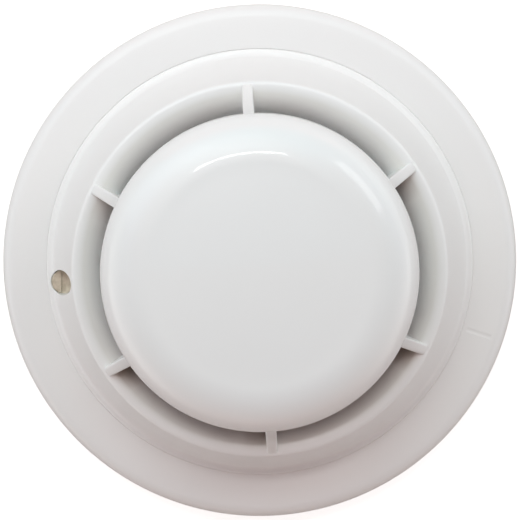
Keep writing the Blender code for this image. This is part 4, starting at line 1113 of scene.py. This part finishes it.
def build_floor():
    """Pale floor that the camera sees as near white, with a soft contact shadow."""
    bm = bmesh.new()
    bmesh.ops.create_grid(bm, x_segments=1, y_segments=1, size=3.0)
    mesh = finish_mesh(bm, "floor")
    mesh.transform(Matrix.Translation((0.0, 0.0, CAD_BOX[0][2] - 0.05 * MM)))
    floor = bpy.data.objects.new("floor", mesh)
    bpy.context.scene.collection.objects.link(floor)
    material, tree, shader = new_material("pale_floor")
    shader.inputs["Base Color"].default_value = (*FLOOR_COLOUR, 1.0)
    shader.inputs["Roughness"].default_value = 0.9
    shader.inputs["Specular IOR Level"].default_value = 0.0
    glow = tree.nodes.new("ShaderNodeEmission")
    ray = tree.nodes.new("ShaderNodeLightPath")
    shown = tree.nodes.new("ShaderNodeMath")
    shown.operation = "MULTIPLY"
    shown.inputs[1].default_value = FLOOR_GLOW
    add = tree.nodes.new("ShaderNodeAddShader")
    tree.links.new(ray.outputs["Is Camera Ray"], shown.inputs[0])
    tree.links.new(shown.outputs["Value"], glow.inputs["Strength"])
    tree.links.new(shader.outputs["BSDF"], add.inputs[0])
    tree.links.new(glow.outputs["Emission"], add.inputs[1])
    tree.links.new(add.outputs["Shader"], tree.nodes["Material Output"].inputs["Surface"])
    mesh.materials.append(material)


def add_area_light(name, azimuth, polar_angle, distance, size, power, colour):
    """Rectangular light at a direction from the detector, facing it; size is (across, deep)."""
    data = bpy.data.lights.new(name, "AREA")
    data.shape = "RECTANGLE"
    data.size = size[0]
    data.size_y = size[1]
    data.energy = power
    data.color = colour
    light = bpy.data.objects.new(name, data)
    bpy.context.scene.collection.objects.link(light)
    tilt = math.radians(polar_angle)
    across, along = polar(distance * math.sin(tilt), azimuth)
    light.location = (across, along, distance * math.cos(tilt))
    inward = -light.location.normalized()
    side = inward.cross(Vector((0.0, 0.0, 1.0))).normalized()
    up = side.cross(inward)
    facing = Matrix((side, up, -inward)).transposed().to_4x4()
    light.matrix_world = Matrix.Translation(light.location) @ facing


def build_camera():
    """Camera nearly square on, tilted a little towards +Y and rolled."""
    camera_data = bpy.data.cameras.new("camera")
    camera = bpy.data.objects.new("camera", camera_data)
    bpy.context.scene.collection.objects.link(camera)
    base_low, base_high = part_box("mounting_base")
    upward = Vector((math.sin(CAMERA_ROLL), math.cos(CAMERA_ROLL), 0.0))
    away = Vector((0.0, 0.0, math.cos(CAMERA_TILT))) + upward * math.sin(CAMERA_TILT)
    camera_up = upward * math.cos(CAMERA_TILT) - Vector((0.0, 0.0, math.sin(CAMERA_TILT)))
    side = camera_up.cross(away)
    target = Vector((0.0, 0.0, base_high.z - BASE_EDGE_ROUNDING))
    target += side * CAMERA_AIM[0] + camera_up * CAMERA_AIM[1]
    turned = Matrix((side, camera_up, away)).transposed().to_4x4()
    camera.matrix_world = Matrix.Translation(target + away * CAMERA_DISTANCE) @ turned
    focal_pixels = BASE_RADIUS_IN_IMAGE / base_high.x * CAMERA_DISTANCE
    camera_data.sensor_width = SENSOR_WIDTH
    camera_data.lens = SENSOR_WIDTH * focal_pixels / IMAGE_SIDE
    camera_data.clip_start = 0.01
    camera_data.clip_end = 20.0
    bpy.context.scene.camera = camera


def main():
    bpy.context.scene.view_settings.view_transform = "Standard"
    white = moulded_plastic("white_moulding", WHITE, WHITE_ROUGHNESS, WHITE_GRAIN)
    nickel = plated_metal("dull_nickel", *DULL_NICKEL)
    build_cover(cover_plastic())
    build_base(white)
    build_lock_screw(nickel)
    dress_inner_parts()
    build_world()
    build_floor()
    for light in LIGHTS:
        add_area_light(*light)
    build_camera()


main()
